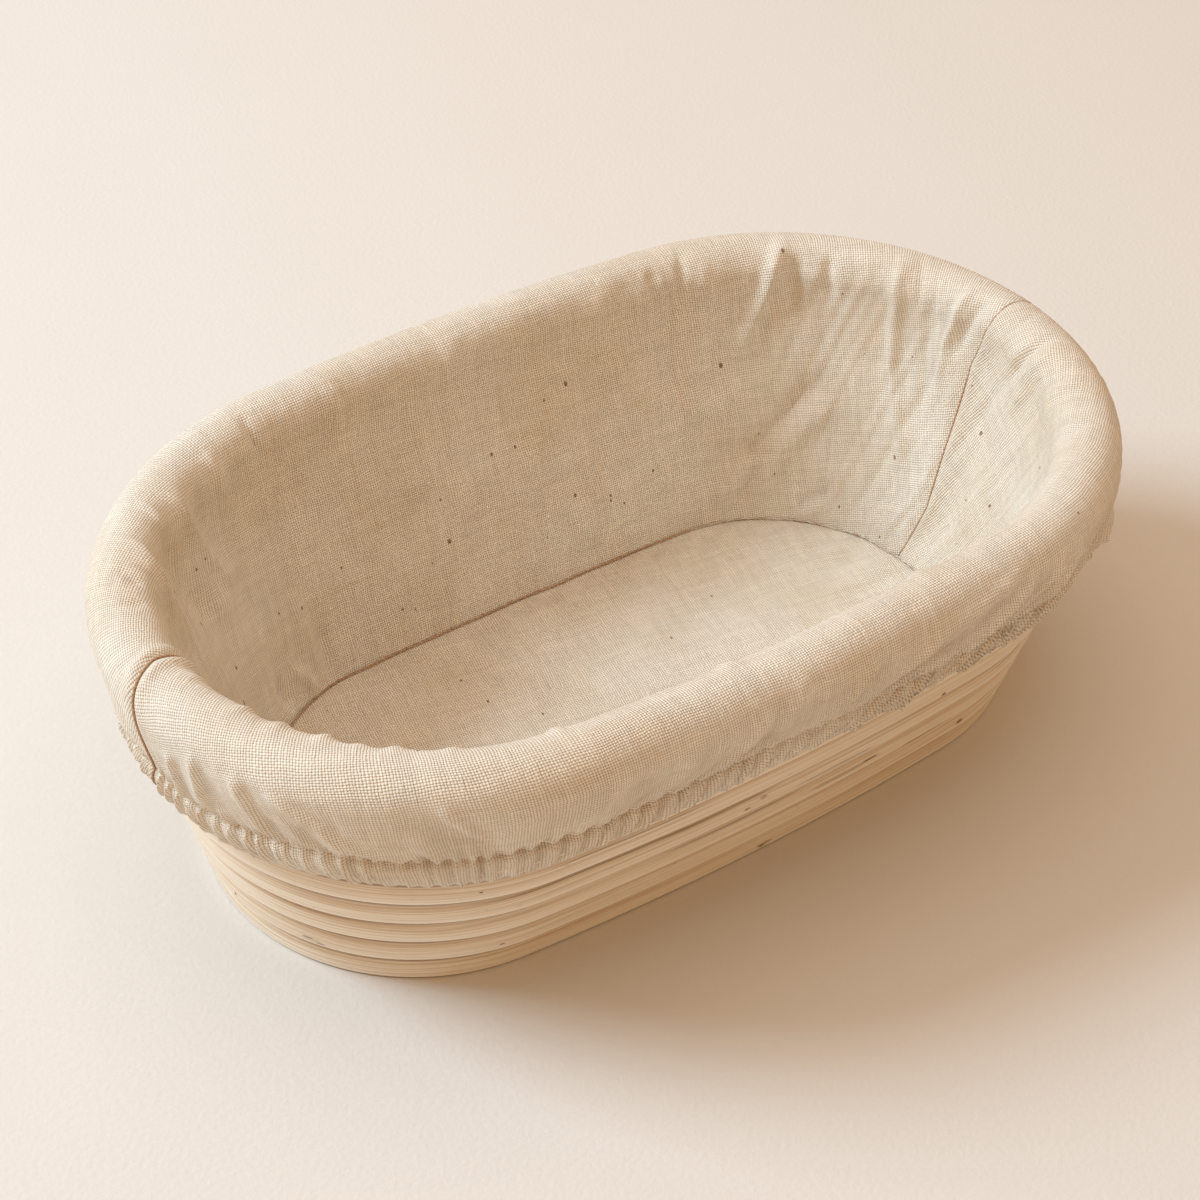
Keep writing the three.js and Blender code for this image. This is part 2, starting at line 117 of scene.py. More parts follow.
class LinerSizes(bpy.types.PropertyGroup):
    """Sizes of the cloth liner"""

    floor_half_length: length(0.0897, "Half length of the floor seam")
    floor_half_width: length(0.0441, "Half width of the floor seam")
    floor_end: factor(0.985, "Radius of the floor's end arcs, part of its half width")
    seam_height: length(0.0082, "Height of the floor seam")
    roll_radius: length(0.0084, "Radius of the roll of cloth on the rim")
    roll_height: length(0.07115, "Height of the roll's middle")
    roll_standoff: length(0.002, "How far the roll stands out past the rim")
    roll_slack: length(0.0009, "How much further it stands out on the long sides")
    stitch_height: length(0.0549, "Height of the gathering stitch")
    hem_height: length(0.0088, "Height of the casing under the stitch")
    inner_layer: length(0.0009, "Stand-off of the casing's inner layer")
    outer_layer: length(0.0031, "Stand-off of the casing's outer layer")
    cloth: length(0.0008, "Thickness of the cloth")
    seam_gap: length(0.0002, "Distance between the panels at an end seam")
    pleat: length(0.0043, "Spacing of the hem's pleats")
    columns: number(840, "Columns of cloth in each side panel")


class Finishes(bpy.types.PropertyGroup):
    """Colours of the basket's materials"""

    cane: colour((0.90, 0.79, 0.60), "Ground colour of the wall's cane")
    # Also the painted shade up under each turn above
    cane_shade: colour((0.60, 0.41, 0.24), "Colour of the cane's darker grain")
    # Also the painted light towards the lower edge, and the thin lip there
    cane_edge: colour((0.95, 0.88, 0.76), "Colour of the cane's worn lower edge")
    # Painted shade in the joints between turns, and the colour of the cane's pores
    cane_joint_shade_and_pores: colour((0.22, 0.12, 0.06), "Colour in the joints between turns")
    cane_mark: colour((0.24, 0.12, 0.05), "Colour of splinters and knots")
    cloth: colour((0.96, 0.90, 0.79), "Colour of the liner's yarn")
    cloth_gap: colour((0.50, 0.37, 0.24), "Colour between the yarns")
    cloth_warm: colour((0.91, 0.83, 0.73), "Colour of the cloth's warmer patches")
    nep: colour((0.22, 0.10, 0.04), "Colour of the neps in the yarn")
    thread: colour((0.36, 0.21, 0.11), "Colour of the seams' brown thread")
    pale_thread: colour((0.82, 0.75, 0.65), "Colour of the gathering stitch")
    elastic: colour((0.85, 0.82, 0.74), "Colour of the hem's elastic")
    wire: colour((0.55, 0.55, 0.54), "Colour of staples and pins")
    weave: length(0.00058, "Spacing of the cloth's yarns")


class StudioSettings(bpy.types.PropertyGroup):
    """Camera, lamps and floor"""

    azimuth: angle(-33.8149, "Turn of the camera round the basket")
    elevation: angle(40.4441, "Height of the camera as an angle")
    distance: length(0.57805, "Distance of the camera from its target")
    lens: amount(73.956, "Focal length of the camera", unit="CAMERA")
    target: bpy.props.FloatVectorProperty(
        description="Point that the camera looks at",
        default=(-0.004707, 0.002122, 0.04),
        size=3,
        subtype="TRANSLATION",
    )
    floor: colour((0.785, 0.75, 0.70), "Colour of the floor")
    key_power: amount(38.0, "Power of the window lamp", unit="POWER")
    key_colour: colour((0.65, 0.83, 0.98), "Colour of the window lamp")
    top_power: amount(3.6, "Power of the overhead lamp", unit="POWER")
    top_colour: colour((0.92, 0.96, 1.0), "Colour of the overhead lamp")
    sky: amount(0.56, "Strength of the room's even light")
    sky_colour: colour((1.0, 0.65, 0.37), "Colour of the room's even light")


def sizes():
    return bpy.context.scene.basket_sizes, bpy.context.scene.liner_sizes


def run_of(steps):
    """How far along a line each of its points lies, from the steps between them."""
    return np.concatenate([[0.0], np.cumsum(np.linalg.norm(steps, axis=1))])


# Ovals of four arcs. Fields may be arrays, so each point can lie on its own oval.
class Oval:
    def __init__(self, half_length, half_width, end_radius):
        self.half_length, self.half_width, self.end_radius = half_length, half_width, end_radius
        self.reach = half_length - end_radius
        top = self.reach**2 + half_width**2 - end_radius**2
        self.side_radius = top / (2 * (half_width - end_radius))
        self.drop = self.side_radius - half_width
        self.turn = np.arctan2(self.drop, self.reach)

    def grown(self, offset):
        return Oval(
            self.half_length + offset, self.half_width + offset, self.end_radius + offset
        )

    def mixed(self, other, share):
        return Oval(
            self.half_length + (other.half_length - self.half_length) * share,
            self.half_width + (other.half_width - self.half_width) * share,
            self.end_radius + (other.end_radius - self.end_radius) * share,
        )

    def station(self, steps):
        """Points and outward normals at these steps, anticlockwise from +X."""
        turned = np.mod(steps, LOOP)
        quarter = np.floor(turned / QUARTER).astype(int)
        along = np.where(quarter % 2, QUARTER - turned % QUARTER, turned % QUARTER)
        on_end = along <= END_STEPS
        side_angle = (math.pi / 2 - self.turn) * (along - END_STEPS) / SIDE_STEPS
        angle = np.where(on_end, self.turn * along / END_STEPS, self.turn + side_angle)
        flip_x = np.where((quarter == 1) | (quarter == 2), -1.0, 1.0)
        flip_y = np.where(quarter > 1, -1.0, 1.0)
        normal = np.stack([flip_x * np.cos(angle), flip_y * np.sin(angle)], -1)
        radius = np.where(on_end, self.end_radius, self.side_radius)
        x = np.where(on_end, flip_x * self.reach, 0.0)
        y = np.where(on_end, 0.0, -flip_y * self.drop)
        return np.stack([x, y], -1) + normal * radius[..., None], normal

    def at(self, steps, offset, z):
        place, normal = self.station(steps)
        place = place + normal * np.broadcast_to(offset, np.shape(steps))[..., None]
        z = np.broadcast_to(z, np.shape(steps))
        return np.concatenate([place, z[..., None]], -1)

    def pressed(self, points, nearest, furthest):
        """Points moved in or out until they lie between these two offsets from the oval."""
        x, y = np.abs(points[:, 0]), np.abs(points[:, 1])
        on_end = np.arctan2(y + self.drop, x) <= self.turn
        centre_x, centre_y = np.where(on_end, self.reach, 0.0), np.where(on_end, 0.0, -self.drop)
        away = np.hypot(x - centre_x, y - centre_y)
        offset = away - np.where(on_end, self.end_radius, self.side_radius)
        grow = 1 + (np.clip(offset, nearest, furthest) - offset) / away
        moved = points.copy()
        moved[:, 0] = np.sign(points[:, 0]) * (centre_x + (x - centre_x) * grow)
        # What lies inside is the start of the winding, whose place is on the far side
        side = np.where(offset < nearest - 0.0002, 1.0, np.sign(points[:, 1]))
        moved[:, 1] = side * (centre_y + (y - centre_y) * grow)
        return moved

    def even_steps(self, start, stop, count):
        """Steps from start to stop whose points lie the same distance apart, and that distance."""
        fine = np.linspace(start, stop, 40 * HALF_LOOP + 1)
        run = run_of(np.diff(self.station(fine)[0], axis=0))
        return np.interp(np.linspace(0, run[-1], count), run, fine), run[-1]


def oval_of(half_length, half_width, end):
    """An oval whose end arcs' radius is this part of its half width."""
    return Oval(half_length, half_width, half_width * end)


def wall_at(z):
    basket, _ = sizes()
    foot = oval_of(basket.foot_half_length, basket.foot_half_width, basket.foot_end)
    mouth = oval_of(basket.mouth_half_length, basket.mouth_half_width, basket.mouth_end)
    return foot.mixed(mouth, np.asarray(z) / basket.wall_height)


def floor_oval():
    _, liner = sizes()
    return oval_of(liner.floor_half_length, liner.floor_half_width, liner.floor_end)


def smooth(share):
    share = np.clip(share, 0, 1)
    return share * share * (3 - 2 * share)


def wander(run, round_it, waves, seed, rough=0.5):
    """A slow irregular wave round the basket that closes on itself, about -1 to 1."""
    dice = np.random.default_rng(seed)
    total, power = np.zeros_like(run), 0.0
    for n in range(max(1, waves // 3), waves + 1):
        size = (1 - rough) + rough * dice.random()
        total += size * np.sin(2 * math.pi * (n * run / round_it + dice.random()))
        power += size * size
    return total / math.sqrt(2 * power) * 1.2


# Shader maths: a socket that arithmetic can be written with, and one method that makes a node
class Wire:
    def __init__(self, finish, socket):
        self.finish, self.socket = finish, socket

    def maths(self, operation, *values):
        return self.finish.node(
            "ShaderNodeMath", {"operation": operation}, dict(enumerate(values))
        )

    def __add__(self, other):
        return self.maths("ADD", self, other)

    def __sub__(self, other):
        return self.maths("SUBTRACT", self, other)

    def __mul__(self, other):
        return self.maths("MULTIPLY", self, other)

    def __truediv__(self, other):
        return self.maths("DIVIDE", self, other)

    def __pow__(self, other):
        return self.maths("POWER", self, other)

    def __rsub__(self, other):
        return self.maths("SUBTRACT", other, self)

    __radd__, __rmul__ = __add__, __mul__

    def floor(self):
        return self.maths("FLOOR", self)

    def sine(self):
        return self.maths("SINE", self)

    def size(self):
        return self.maths("ABSOLUTE", self)

    def larger(self, other):
        return self.maths("MAXIMUM", self, other)

    def ramp(self, low, high, start=0.0, stop=1.0):
        """Smoothly from start to stop as the value goes from low to high."""
        settings = {"interpolation_type": "SMOOTHSTEP"}
        values = {0: self, 1: low, 2: high, 3: start, 4: stop}
        return self.finish.node("ShaderNodeMapRange", settings, values)


class Finish:
    def __init__(self, name, roughness, **fixed):
        self.material = bpy.data.materials.new(name)
        self.material.use_nodes = True
        self.tree = self.material.node_tree
        self.shader = self.tree.nodes["Principled BSDF"]
        self.shader.inputs["Roughness"].default_value = roughness
        for key, value in fixed.items():
            self.shader.inputs[key.replace("_", " ")].default_value = value

    def node(self, kind, settings, values, output=0):
        made = self.tree.nodes.new(kind)
        for key, value in settings.items():
            setattr(made, key, value)
        for key, value in values.items():
            if isinstance(value, Wire):
                self.tree.links.new(value.socket, made.inputs[key])
            else:
                made.inputs[key].default_value = value
        return Wire(self, made.outputs[output])

    def place(self):
        """The piece's own UV map, in metres: along it and across it."""
        uv = self.node("ShaderNodeUVMap", {"uv_map": "run"}, {})
        return [self.node("ShaderNodeSeparateXYZ", {}, {0: uv}, n) for n in (0, 1)]

    def object_place(self):
        return self.node("ShaderNodeTexCoord", {}, {}, "Object")

    def vector(self, x, y, z=0.0):
        return self.node("ShaderNodeCombineXYZ", {}, {0: x, 1: y, 2: z})

    def noise(self, vector, scale=1.0, detail=2.0, rough=0.5):
        values = {"Vector": vector, "Scale": scale, "Detail": detail, "Roughness": rough}
        return self.node("ShaderNodeTexNoise", {}, values, "Fac")

    def grain(self, x, y, z=0.0, detail=2.0, rough=0.5):
        """Noise at a place whose axes are each drawn out on their own."""
        return self.noise(self.vector(x, y, z), 1.0, detail, rough)

    def mix(self, share, first, second, blend="MIX"):
        """Of two colours; the share may be a number or a wire."""
        settings = {"data_type": "RGBA", "blend_type": blend}
        values = {0: share, 6: self.rgb(first), 7: self.rgb(second)}
        return self.node("ShaderNodeMix", settings, values, 2)

    @staticmethod
    def rgb(value):
        return value if isinstance(value, Wire) else (*value, 1.0)

    def bump(self, height, distance, strength=1.0):
        values = {"Strength": strength, "Distance": distance, "Height": height}
        normal = self.node("ShaderNodeBump", {}, values)
        self.tree.links.new(normal.socket, self.shader.inputs["Normal"])

    def feed(self, **wires):
        for key, wire in wires.items():
            self.tree.links.new(wire.socket, self.shader.inputs[key.replace("_", " ")])
        return self.material


def cane_finish(name, height, face, marks=()):
    """Rattan: fine lengthwise grain, a pale lower lip, painted shade towards the joints, small
    marks.

    Each mark is a run along the cane, a height on its face, half a length, half a width (all in
    metres) and how dark it is.
    """
    finishes = bpy.context.scene.finishes
    pale, brown, joint = finishes.cane_edge, finishes.cane_shade, finishes.cane_joint_shade_and_pores
    dark_brown, bright = [c * 0.72 for c in brown], [min(1.0, c * 1.03) for c in pale]
    cane = Finish(name, 0.5, Specular_IOR_Level=0.5)
    run, across = cane.place()
    sway = cane.grain(run * 30.0, across * 60.0, detail=1.0) - 0.5
    across_now = across + sway * 0.0008
    broad = cane.grain(run * 7.0, across_now * 300.0)
    streaks = cane.grain(run * 16.0, across_now * 2100.0, detail=3.0, rough=0.6)
    fibres = cane.grain(run * 60.0, across_now * 7000.0)
    strong = cane.grain(run * 11.0, across_now * 900.0, 7.0)
    patches = cane.grain(run * 12.0, across * 40.0, 3.0)
    shade = cane.mix(broad.ramp(0.36, 0.70) * 0.42, finishes.cane, brown)
    shade = cane.mix(patches.ramp(0.45, 0.7) * 0.5, shade, pale)
    shade = cane.mix(streaks.ramp(0.50, 0.62) * 0.7, shade, brown)
    shade = cane.mix((1.0 - streaks).ramp(0.52, 0.64) * 0.8, shade, pale)
    shade = cane.mix(fibres.ramp(0.46, 0.72) * 0.4, shade, brown)
    lines = cane.grain(run * 9.0, across_now * 1500.0, 11.0, detail=3.0, rough=0.65)
    shade = cane.mix(lines.ramp(0.53, 0.60) * 0.6, shade, brown)
    shade = cane.mix((1.0 - lines).ramp(0.54, 0.62) * 0.6, shade, pale)
    worn = cane.grain(run * 5.0, 2.0, detail=1.0).ramp(0.42, 0.6)
    shade = cane.mix(strong.ramp(0.62, 0.70) * worn * 0.75, shade, dark_brown)
    # Painted shade: paler towards the lower edge and browner up under the turn above
    rise = across / height
    shade = cane.mix(rise.ramp(0.15, 0.75, 0.5, 0.0), shade, pale)
    shade = cane.mix(rise.ramp(0.45, 0.90) * rise.ramp(1.0, 1.3, 0.4, 0.1), shade, brown)
    # Painted shadow: dark over the top of the face, where it runs in under the lip of the turn
    # above
    jag = fibres * 0.0004 + streaks * 0.0003
    beyond = across.ramp(face, face + 0.0012, 1.0, 0.0)
    sunk = (across + jag).ramp(face - 0.0026, face - 0.0014) * beyond
    shade = cane.mix(sunk * 0.8, shade, joint)
    lip = across.ramp(0.0004, 0.0008) * across.ramp(0.0012, 0.0020, 1.0, 0.0)
    shade = cane.mix(lip * 0.9, shade, bright)
    # Painted shade: dark on the downward-facing part of the lower edge, where it sits on the turn
    # below
    shade = cane.mix((across - jag * 0.4).ramp(0.0001, 0.0006, 1.0, 0.0) * 0.85, shade, joint)
    pores = cane.grain(run * 420.0, across * 2600.0, detail=1.0).ramp(0.75, 0.80)
    shade = cane.mix(pores * 0.5, shade, joint)
    relief = streaks * 0.7 + fibres * 0.25 - pores * 0.5 + strong * 0.5
    for place, lift, half_run, half_across, dark in marks:
        off = cane.vector((run - place) / half_run, (across_now - lift) / half_across)
        away = cane.node("ShaderNodeVectorMath", {"operation": "LENGTH"}, {0: off}, "Value")
        ragged = away + streaks * 0.8 - 0.4
        mark = ragged.ramp(0.6, 1.2, 1.0, 0.0)
        shade = cane.mix(mark * dark, shade, finishes.cane_mark)
        relief = relief - mark * 1.5 + ragged.ramp(1.2, 2.2, 0.4, 0.0)
    cane.bump(relief, 0.00018, 0.8)
    return cane.feed(Base_Color=shade, Roughness=streaks.ramp(0.3, 0.8, 0.42, 0.62))


def cloth_finish(name, neps, turn=0.0):
    """Unbleached plain weave: round yarns over and under, uneven in thickness and tone."""
    finishes = bpy.context.scene.finishes
    cloth = Finish(name, 0.92, Sheen_Weight=0.1, Sheen_Roughness=0.4, Specular_IOR_Level=0.2)
    run, up = cloth.place()
    along = run * math.cos(turn) + up * math.sin(turn)
    across = up * math.cos(turn) - run * math.sin(turn)
    here = cloth.vector(along, across)
    turned = cloth.vector(across, along, 0.3)
    pitch = finishes.weave
    drift = cloth.noise(here, 80.0, 1.0) - 0.5
    drift_across = cloth.noise(turned, 80.0, 1.0) - 0.5
    wobble = cloth.grain(along * 1500.0, across * 500.0, detail=1.0) - 0.5
    wobble_across = cloth.grain(across * 1500.0, along * 500.0, 5.0, detail=1.0) - 0.5
    warp = (along + drift * 0.0016 + wobble * 0.0003) / pitch
    weft = (across + drift_across * 0.0016 + wobble_across * 0.0003) / pitch
    warp_row, weft_row = warp.floor(), weft.floor()
    warp_wave, weft_wave = (warp * math.pi).sine().size(), (weft * math.pi).sine().size()
    rows = (warp_row + weft_row) / 2.0
    over = (rows - rows.floor()) * 4.0 - 1.0
    warp_tone = cloth.grain(warp_row * 0.37, across * 70.0, detail=1.0)
    weft_tone = cloth.grain(weft_row * 0.37, along * 70.0, 4.0, detail=1.0)
    warp_height = warp_wave ** 0.6 * 0.6 + weft_wave * over * 0.4
    weft_height = weft_wave ** 0.6 * 0.5 - warp_wave * over * 0.3
    height = warp_height.larger(weft_height)
    open_weave = cloth.noise(here, 60.0, 2.0).ramp(0.3, 0.75, 0.7, 1.0)
    # Painted shade: in the hollows between folds the gaps between yarns show more
    fold_shade = cloth.node("ShaderNodeAttribute", {"attribute_name": "fold_shade"}, {}, "Fac")
    gaps = height.ramp(0.25, 0.72, 1.0, 0.0) * open_weave * (fold_shade * 0.3 + 1.0)
    ground = cloth.mix(gaps, finishes.cloth, finishes.cloth_gap)
    patches = cloth.noise(here, 24.0, 3.0, 0.55).ramp(0.35, 0.7) * 0.55
    streaks = cloth.grain(along * 420.0, across * 22.0).ramp(0.52, 0.75)
    crossed = cloth.grain(across * 420.0, along * 22.0, 6.0).ramp(0.52, 0.75)
    tint = patches + streaks * 0.25 + crossed * 0.25
    ground = cloth.mix(tint, ground, finishes.cloth_warm, "MULTIPLY")
    uneven = (warp_tone * 0.5 + weft_tone * 0.5).ramp(0.3, 0.7, 0.92, 1.04)
    ground = cloth.mix(1.0, ground, cloth.vector(uneven, uneven, uneven), "MULTIPLY")
    # Painted shade: the cloth darkens in the hollows between folds
    ground = cloth.mix(fold_shade * 0.65, ground, (0.62, 0.48, 0.36), "MULTIPLY")
    # Neps: specks of seed in the yarn, mostly inside the basket
    cells = {"Vector": cloth.vector(along, across * 0.7), "Scale": 300.0, "Randomness": 1.0}
    dots = cloth.node("ShaderNodeTexVoronoi", {}, cells)
    kind = cloth.node("ShaderNodeTexVoronoi", {}, cells, "Color")
    chance = cloth.node("ShaderNodeSeparateColor", {}, {0: kind}, 0)
    size = cloth.node("ShaderNodeSeparateColor", {}, {0: kind}, 1) ** 1.5 * 0.08 + 0.07
    crowd = cloth.noise(here, 26.0, 1.0).ramp(0.40, 0.62, 0.35, 1.0)
    seen = up.ramp(0.062, 0.074, neps, 0.05) * crowd
    nep = (dots - size).ramp(-0.01, 0.03, 1.0, 0.0) * (chance + seen).ramp(1.0, 1.01)
    slubs = cloth.grain(along * 900.0, across * 130.0, 8.0, detail=1.0)
    slub = slubs.ramp(0.80, 0.86) * 0.4
    ground = cloth.mix((nep * 0.8).larger(slub), ground, finishes.nep)
    rumple = cloth.noise(here, 420.0, 2.0)
    thick = (slubs.ramp(0.62, 0.8) + nep) * 0.4
    cloth.bump(height + rumple * 0.25 + thick, pitch * 0.55, 1.0)
    return cloth.feed(Base_Color=ground)


def thread_finish(name, base, sunk=()):
    """Sewing thread: two plies that turn round each other.

    Where it is sunk into the cloth it takes the cloth's colour: each place is a run along it,
    half a length and how far it goes.
    """
    thread = Finish(name, 0.8, Sheen_Weight=0.1)
    run, across = thread.place()
    plies = ((run * 5200.0 + across * 3000.0).sine() + 1.0) * 0.5
    fuzz = thread.noise(thread.object_place(), 2500.0, 2.0)
    pale = [min(1.0, c * 1.7 + 0.02) for c in base]
    shade = thread.mix(plies * 0.6 + fuzz * 0.3, base, pale)
    stitches = thread.grain(run * 260.0, 1.0, detail=1.0).ramp(0.42, 0.58)
    cloth = [c * 0.8 for c in bpy.context.scene.finishes.cloth]
    for place, half, share in sunk:
        near = ((run - place) / half).size().ramp(0.75, 1.0, share, 0.0)
        shade = thread.mix(near * (stitches * 0.6 + 0.4), shade, cloth)
    thread.bump(plies, 0.00008, 0.8)
    return thread.feed(Base_Color=shade)


def elastic_finish(name):
    """Woven elastic: fine ribs across the band."""
    elastic = Finish(name, 0.75, Sheen_Weight=0.1)
    run, across = elastic.place()
    ribs = ((run * 6300.0).sine() + 1.0) * 0.5
    cords = ((across * 9000.0).sine() + 1.0) * 0.5
    base = bpy.context.scene.finishes.elastic
    shade = elastic.mix(ribs * 0.35 + cords * 0.2, base, [c * 0.72 for c in base])
    elastic.bump(ribs * 0.6 + cords, 0.00012, 0.8)
    return elastic.feed(Base_Color=shade)


def wire_finish(name):
    """Drawn steel wire, a little dull, with faint scratches."""
    wire = Finish(name, 0.35, Metallic=1.0)
    here = wire.object_place()
    dull = wire.noise(here, 900.0, 3.0)
    scratches = wire.noise(here, 6000.0, 2.0)
    base = bpy.context.scene.finishes.wire
    shade = wire.mix(dull.ramp(0.4, 0.7) * 0.5, base, [c * 0.6 for c in base])
    wire.bump(scratches, 0.00003, 0.5)
    return wire.feed(Base_Color=shade, Roughness=dull.ramp(0.3, 0.7, 0.28, 0.5))


def floor_finish(name):
    """Smooth painted board with a faint texture."""
    floor = Finish(name, 0.85, Specular_IOR_Level=0.15)
    here = floor.object_place()
    mottle = floor.noise(here, 12.0, 3.0)
    grain = floor.noise(here, 700.0, 3.0)
    base = bpy.context.scene.studio.floor
    shade = floor.mix(mottle.ramp(0.3, 0.7) * 0.25, base, [c * 0.97 for c in base])
    floor.bump(grain, 0.00025, 0.5)
    return floor.feed(Base_Color=shade)


# Pieces
def deselect():
    for thing in bpy.context.selected_objects:
        thing.select_set(False)


def activate(piece):
    deselect()
    piece.select_set(True)
    bpy.context.view_layer.objects.active = piece


def merge_points(piece, apart=1e-6, outwards=True):
    """Merges the points that meet, closing seams and poles, and turns the faces outwards."""
    activate(piece)
    bpy.ops.object.mode_set(mode="EDIT")
    bpy.ops.mesh.select_all(action="SELECT")
    bpy.ops.mesh.remove_doubles(threshold=apart)
    if outwards:
        bpy.ops.mesh.normals_make_consistent(inside=False)
    bpy.ops.object.mode_set(mode="OBJECT")


def put_on(piece, material):
    piece.data.materials.clear()
    piece.data.materials.append(material)


def finish_piece(piece, material, body, slot, *nodes):
    put_on(piece, material)
    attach(piece, body)
    if nodes:
        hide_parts(*nodes)
    return piece


def rounded_section(width, height, lower, upper, crown):
    """A cane's section, outer face at x = 0, from its lower outer edge and anticlockwise."""
    corners = [
        ((-lower, lower), lower, -90),
        ((-upper, height - upper), upper, 0),
        ((upper - width, height - upper), upper, 90),
        ((upper - width, upper), upper, 180),
    ]
    outline = []
    for (x, y), radius, start in corners:
        for turn in np.radians(np.linspace(start, start + 90, 6)):
            outline.append([x + radius * math.cos(turn), y + radius * math.sin(turn)])
    dense = []
    for first, second in zip(outline, outline[1:] + outline[:1]):
        gap = math.dist(first, second)
        cuts = max(1, round(gap / (height / 8)))
        for n in range(cuts):
            dense.append([a + (b - a) * n / cuts for a, b in zip(first, second)])
    dense = np.array(dense)
    level = dense[:, 1] / height * 2 - 0.7
    dense[:, 0] -= np.where(dense[:, 0] > -upper, crown * level**2, 0)
    return dense


def curve(name, points, closed, **settings):
    made = bpy.data.curves.new(name, "CURVE")
    for key, value in settings.items():
        setattr(made, key, value)
    line = made.splines.new("POLY")
    line.points.add(len(points) - 1)
    line.points.foreach_set("co", np.column_stack([points, np.ones(len(points))]).ravel())
    line.use_cyclic_u = closed
    piece = bpy.data.objects.new(name, made)
    bpy.context.collection.objects.link(piece)
    return piece


def swept(name, route, section, closed=False):
    """A section swept along a route as a curve with a bevel object, then made a mesh."""
    deselect()
    outline = curve(name + "_section", np.pad(section, ((0, 0), (0, 1))), True, dimensions="2D")
    piece = curve(name, route, closed, dimensions="3D", twist_mode="Z_UP")
    piece.data.bevel_mode = "OBJECT"
    piece.data.bevel_object = outline
    piece.data.use_fill_caps = not closed
    piece.select_set(True)
    bpy.context.view_layer.objects.active = piece
    bpy.ops.object.convert(target="MESH")
    piece = bpy.context.object
    bpy.data.objects.remove(outline)
    lay_run_map(piece, route, section, closed)
    merge_points(piece)
    bpy.ops.object.shade_smooth_by_angle(angle=math.radians(50))
    return piece


def set_map(mesh, places):
    for layer in list(mesh.uv_layers):
        mesh.uv_layers.remove(layer)
    mesh.uv_layers.new(name="run").data.foreach_set("uv", places.ravel())


def lay_run_map(piece, route, section, closed):
    """A UV map in metres: along the route, and round the section from its lower outer edge."""
    mesh = piece.data
    rings, around = len(route), len(section)
    caps = len(mesh.vertices) - rings * around
    run = run_of(np.diff(route, axis=0, append=route[:1]))
    girth = run_of(np.diff(section, axis=0, append=section[:1]))
    place = np.zeros((len(mesh.loops), 2))
    for face in mesh.polygons:
        loops = list(face.loop_indices)
        points = [mesh.loops[i].vertex_index - caps for i in loops]
        if min(points) < 0:
            continue
        ring = [p // around for p in points]
        step = [p % around for p in points]
        over_end = closed and max(ring) - min(ring) > 1
        over_top = max(step) - min(step) > 1
        for i, r, s in zip(loops, ring, step):
            r = rings if over_end and r == 0 else r
            s = around if over_top and s == 0 else s
            place[i] = run[r], girth[s]
    set_map(mesh, place)


def trim(piece, point, normal, near=None, reach=None):
    """Cuts the piece off beyond a plane and closes it, all over or only in a box about a point."""
    activate(piece)
    bpy.ops.object.mode_set(mode="EDIT")
    bpy.ops.mesh.select_all(action="DESELECT")
    bpy.ops.object.mode_set(mode="OBJECT")
    for vertex in piece.data.vertices:
        vertex.select = near is None or all(
            abs(place - middle) < half for place, middle, half in zip(vertex.co, near, reach)
        )
    bpy.ops.object.mode_set(mode="EDIT")
    bpy.ops.mesh.bisect(
        plane_co=point, plane_no=normal, use_fill=True, clear_outer=True, clear_inner=False
    )
    bpy.ops.object.mode_set(mode="OBJECT")


def press(piece, move):
    """Thins a wedge of cane against what it meets: moves its points and merges those that meet."""
    points = np.empty(3 * len(piece.data.vertices))
    piece.data.vertices.foreach_get("co", points)
    piece.data.vertices.foreach_set("co", move(points.reshape(-1, 3)).ravel())
    merge_points(piece)


# Marks on the wall's cane: run along it, height on its face, half length, half width, darkness
WALL_MARKS = (
    (0.7411, 0.0021, 0.0028, 0.00045, 0.15),
    (0.7398, 0.0026, 0.0014, 0.0002, 0.7),
    (0.7428, 0.0017, 0.0013, 0.0002, 0.7),
    (0.7181, 0.0024, 0.0004, 0.0004, 0.95),
    (2.5248, 0.0034, 0.0005, 0.0002, 0.95),
    (0.7834, 0.0024, 0.0006, 0.0002, 0.7),
    (1.9984, 0.0036, 0.0010, 0.0005, 0.4),
    (1.9940, 0.0022, 0.0009, 0.0003, 0.6),
    (0.2999, 0.0022, 0.0022, 0.0005, 0.5),
    (0.2990, 0.0018, 0.0009, 0.0003, 0.95),
    (1.4487, 0.0030, 0.0025, 0.0003, 0.9),
    (1.4400, 0.0026, 0.0090, 0.0005, 0.35),
    (0.3299, 0.0066, 0.0016, 0.0002, 0.7),
    (2.0193, 0.0018, 0.0110, 0.0004, 0.35),
    (2.6461, 0.0012, 0.0008, 0.0006, 0.9),
    (0.9120, 0.0024, 0.0012, 0.0006, 0.85),
    (0.9012, 0.0056, 0.0080, 0.0002, 0.8),
    (1.9566, 0.0054, 0.0300, 0.0003, 0.6),
    (1.9858, 0.0051, 0.0160, 0.0004, 0.55),
    (2.0900, 0.0040, 0.0240, 0.0003, 0.45),
    (2.5600, 0.0050, 0.0200, 0.0002, 0.5),
    (1.4100, 0.0048, 0.0180, 0.0003, 0.5),
)


def wound_level(steps, pitch):
    """How far a winding has climbed: level turns with a smooth climb at the end of each."""
    turn = np.floor(steps / LOOP)
    return (turn + smooth((steps - turn * LOOP - LOOP + CLIMB_STEPS) / CLIMB_STEPS)) * pitch


def wall_route(start, stop):
    basket, _ = sizes()
    steps = np.linspace(start, stop, round((stop - start) * 7) + 1)
    low = wound_level(steps, basket.course_pitch)
    # The wedges at start and tail stay in line with the first and the last turn
    inside = np.clip(low, 0, (basket.courses - 1) * basket.course_pitch)
    wall = wall_at(inside + basket.course_pitch / 2)
    return wall.at(steps + CLIMB_END, 0.0, low)


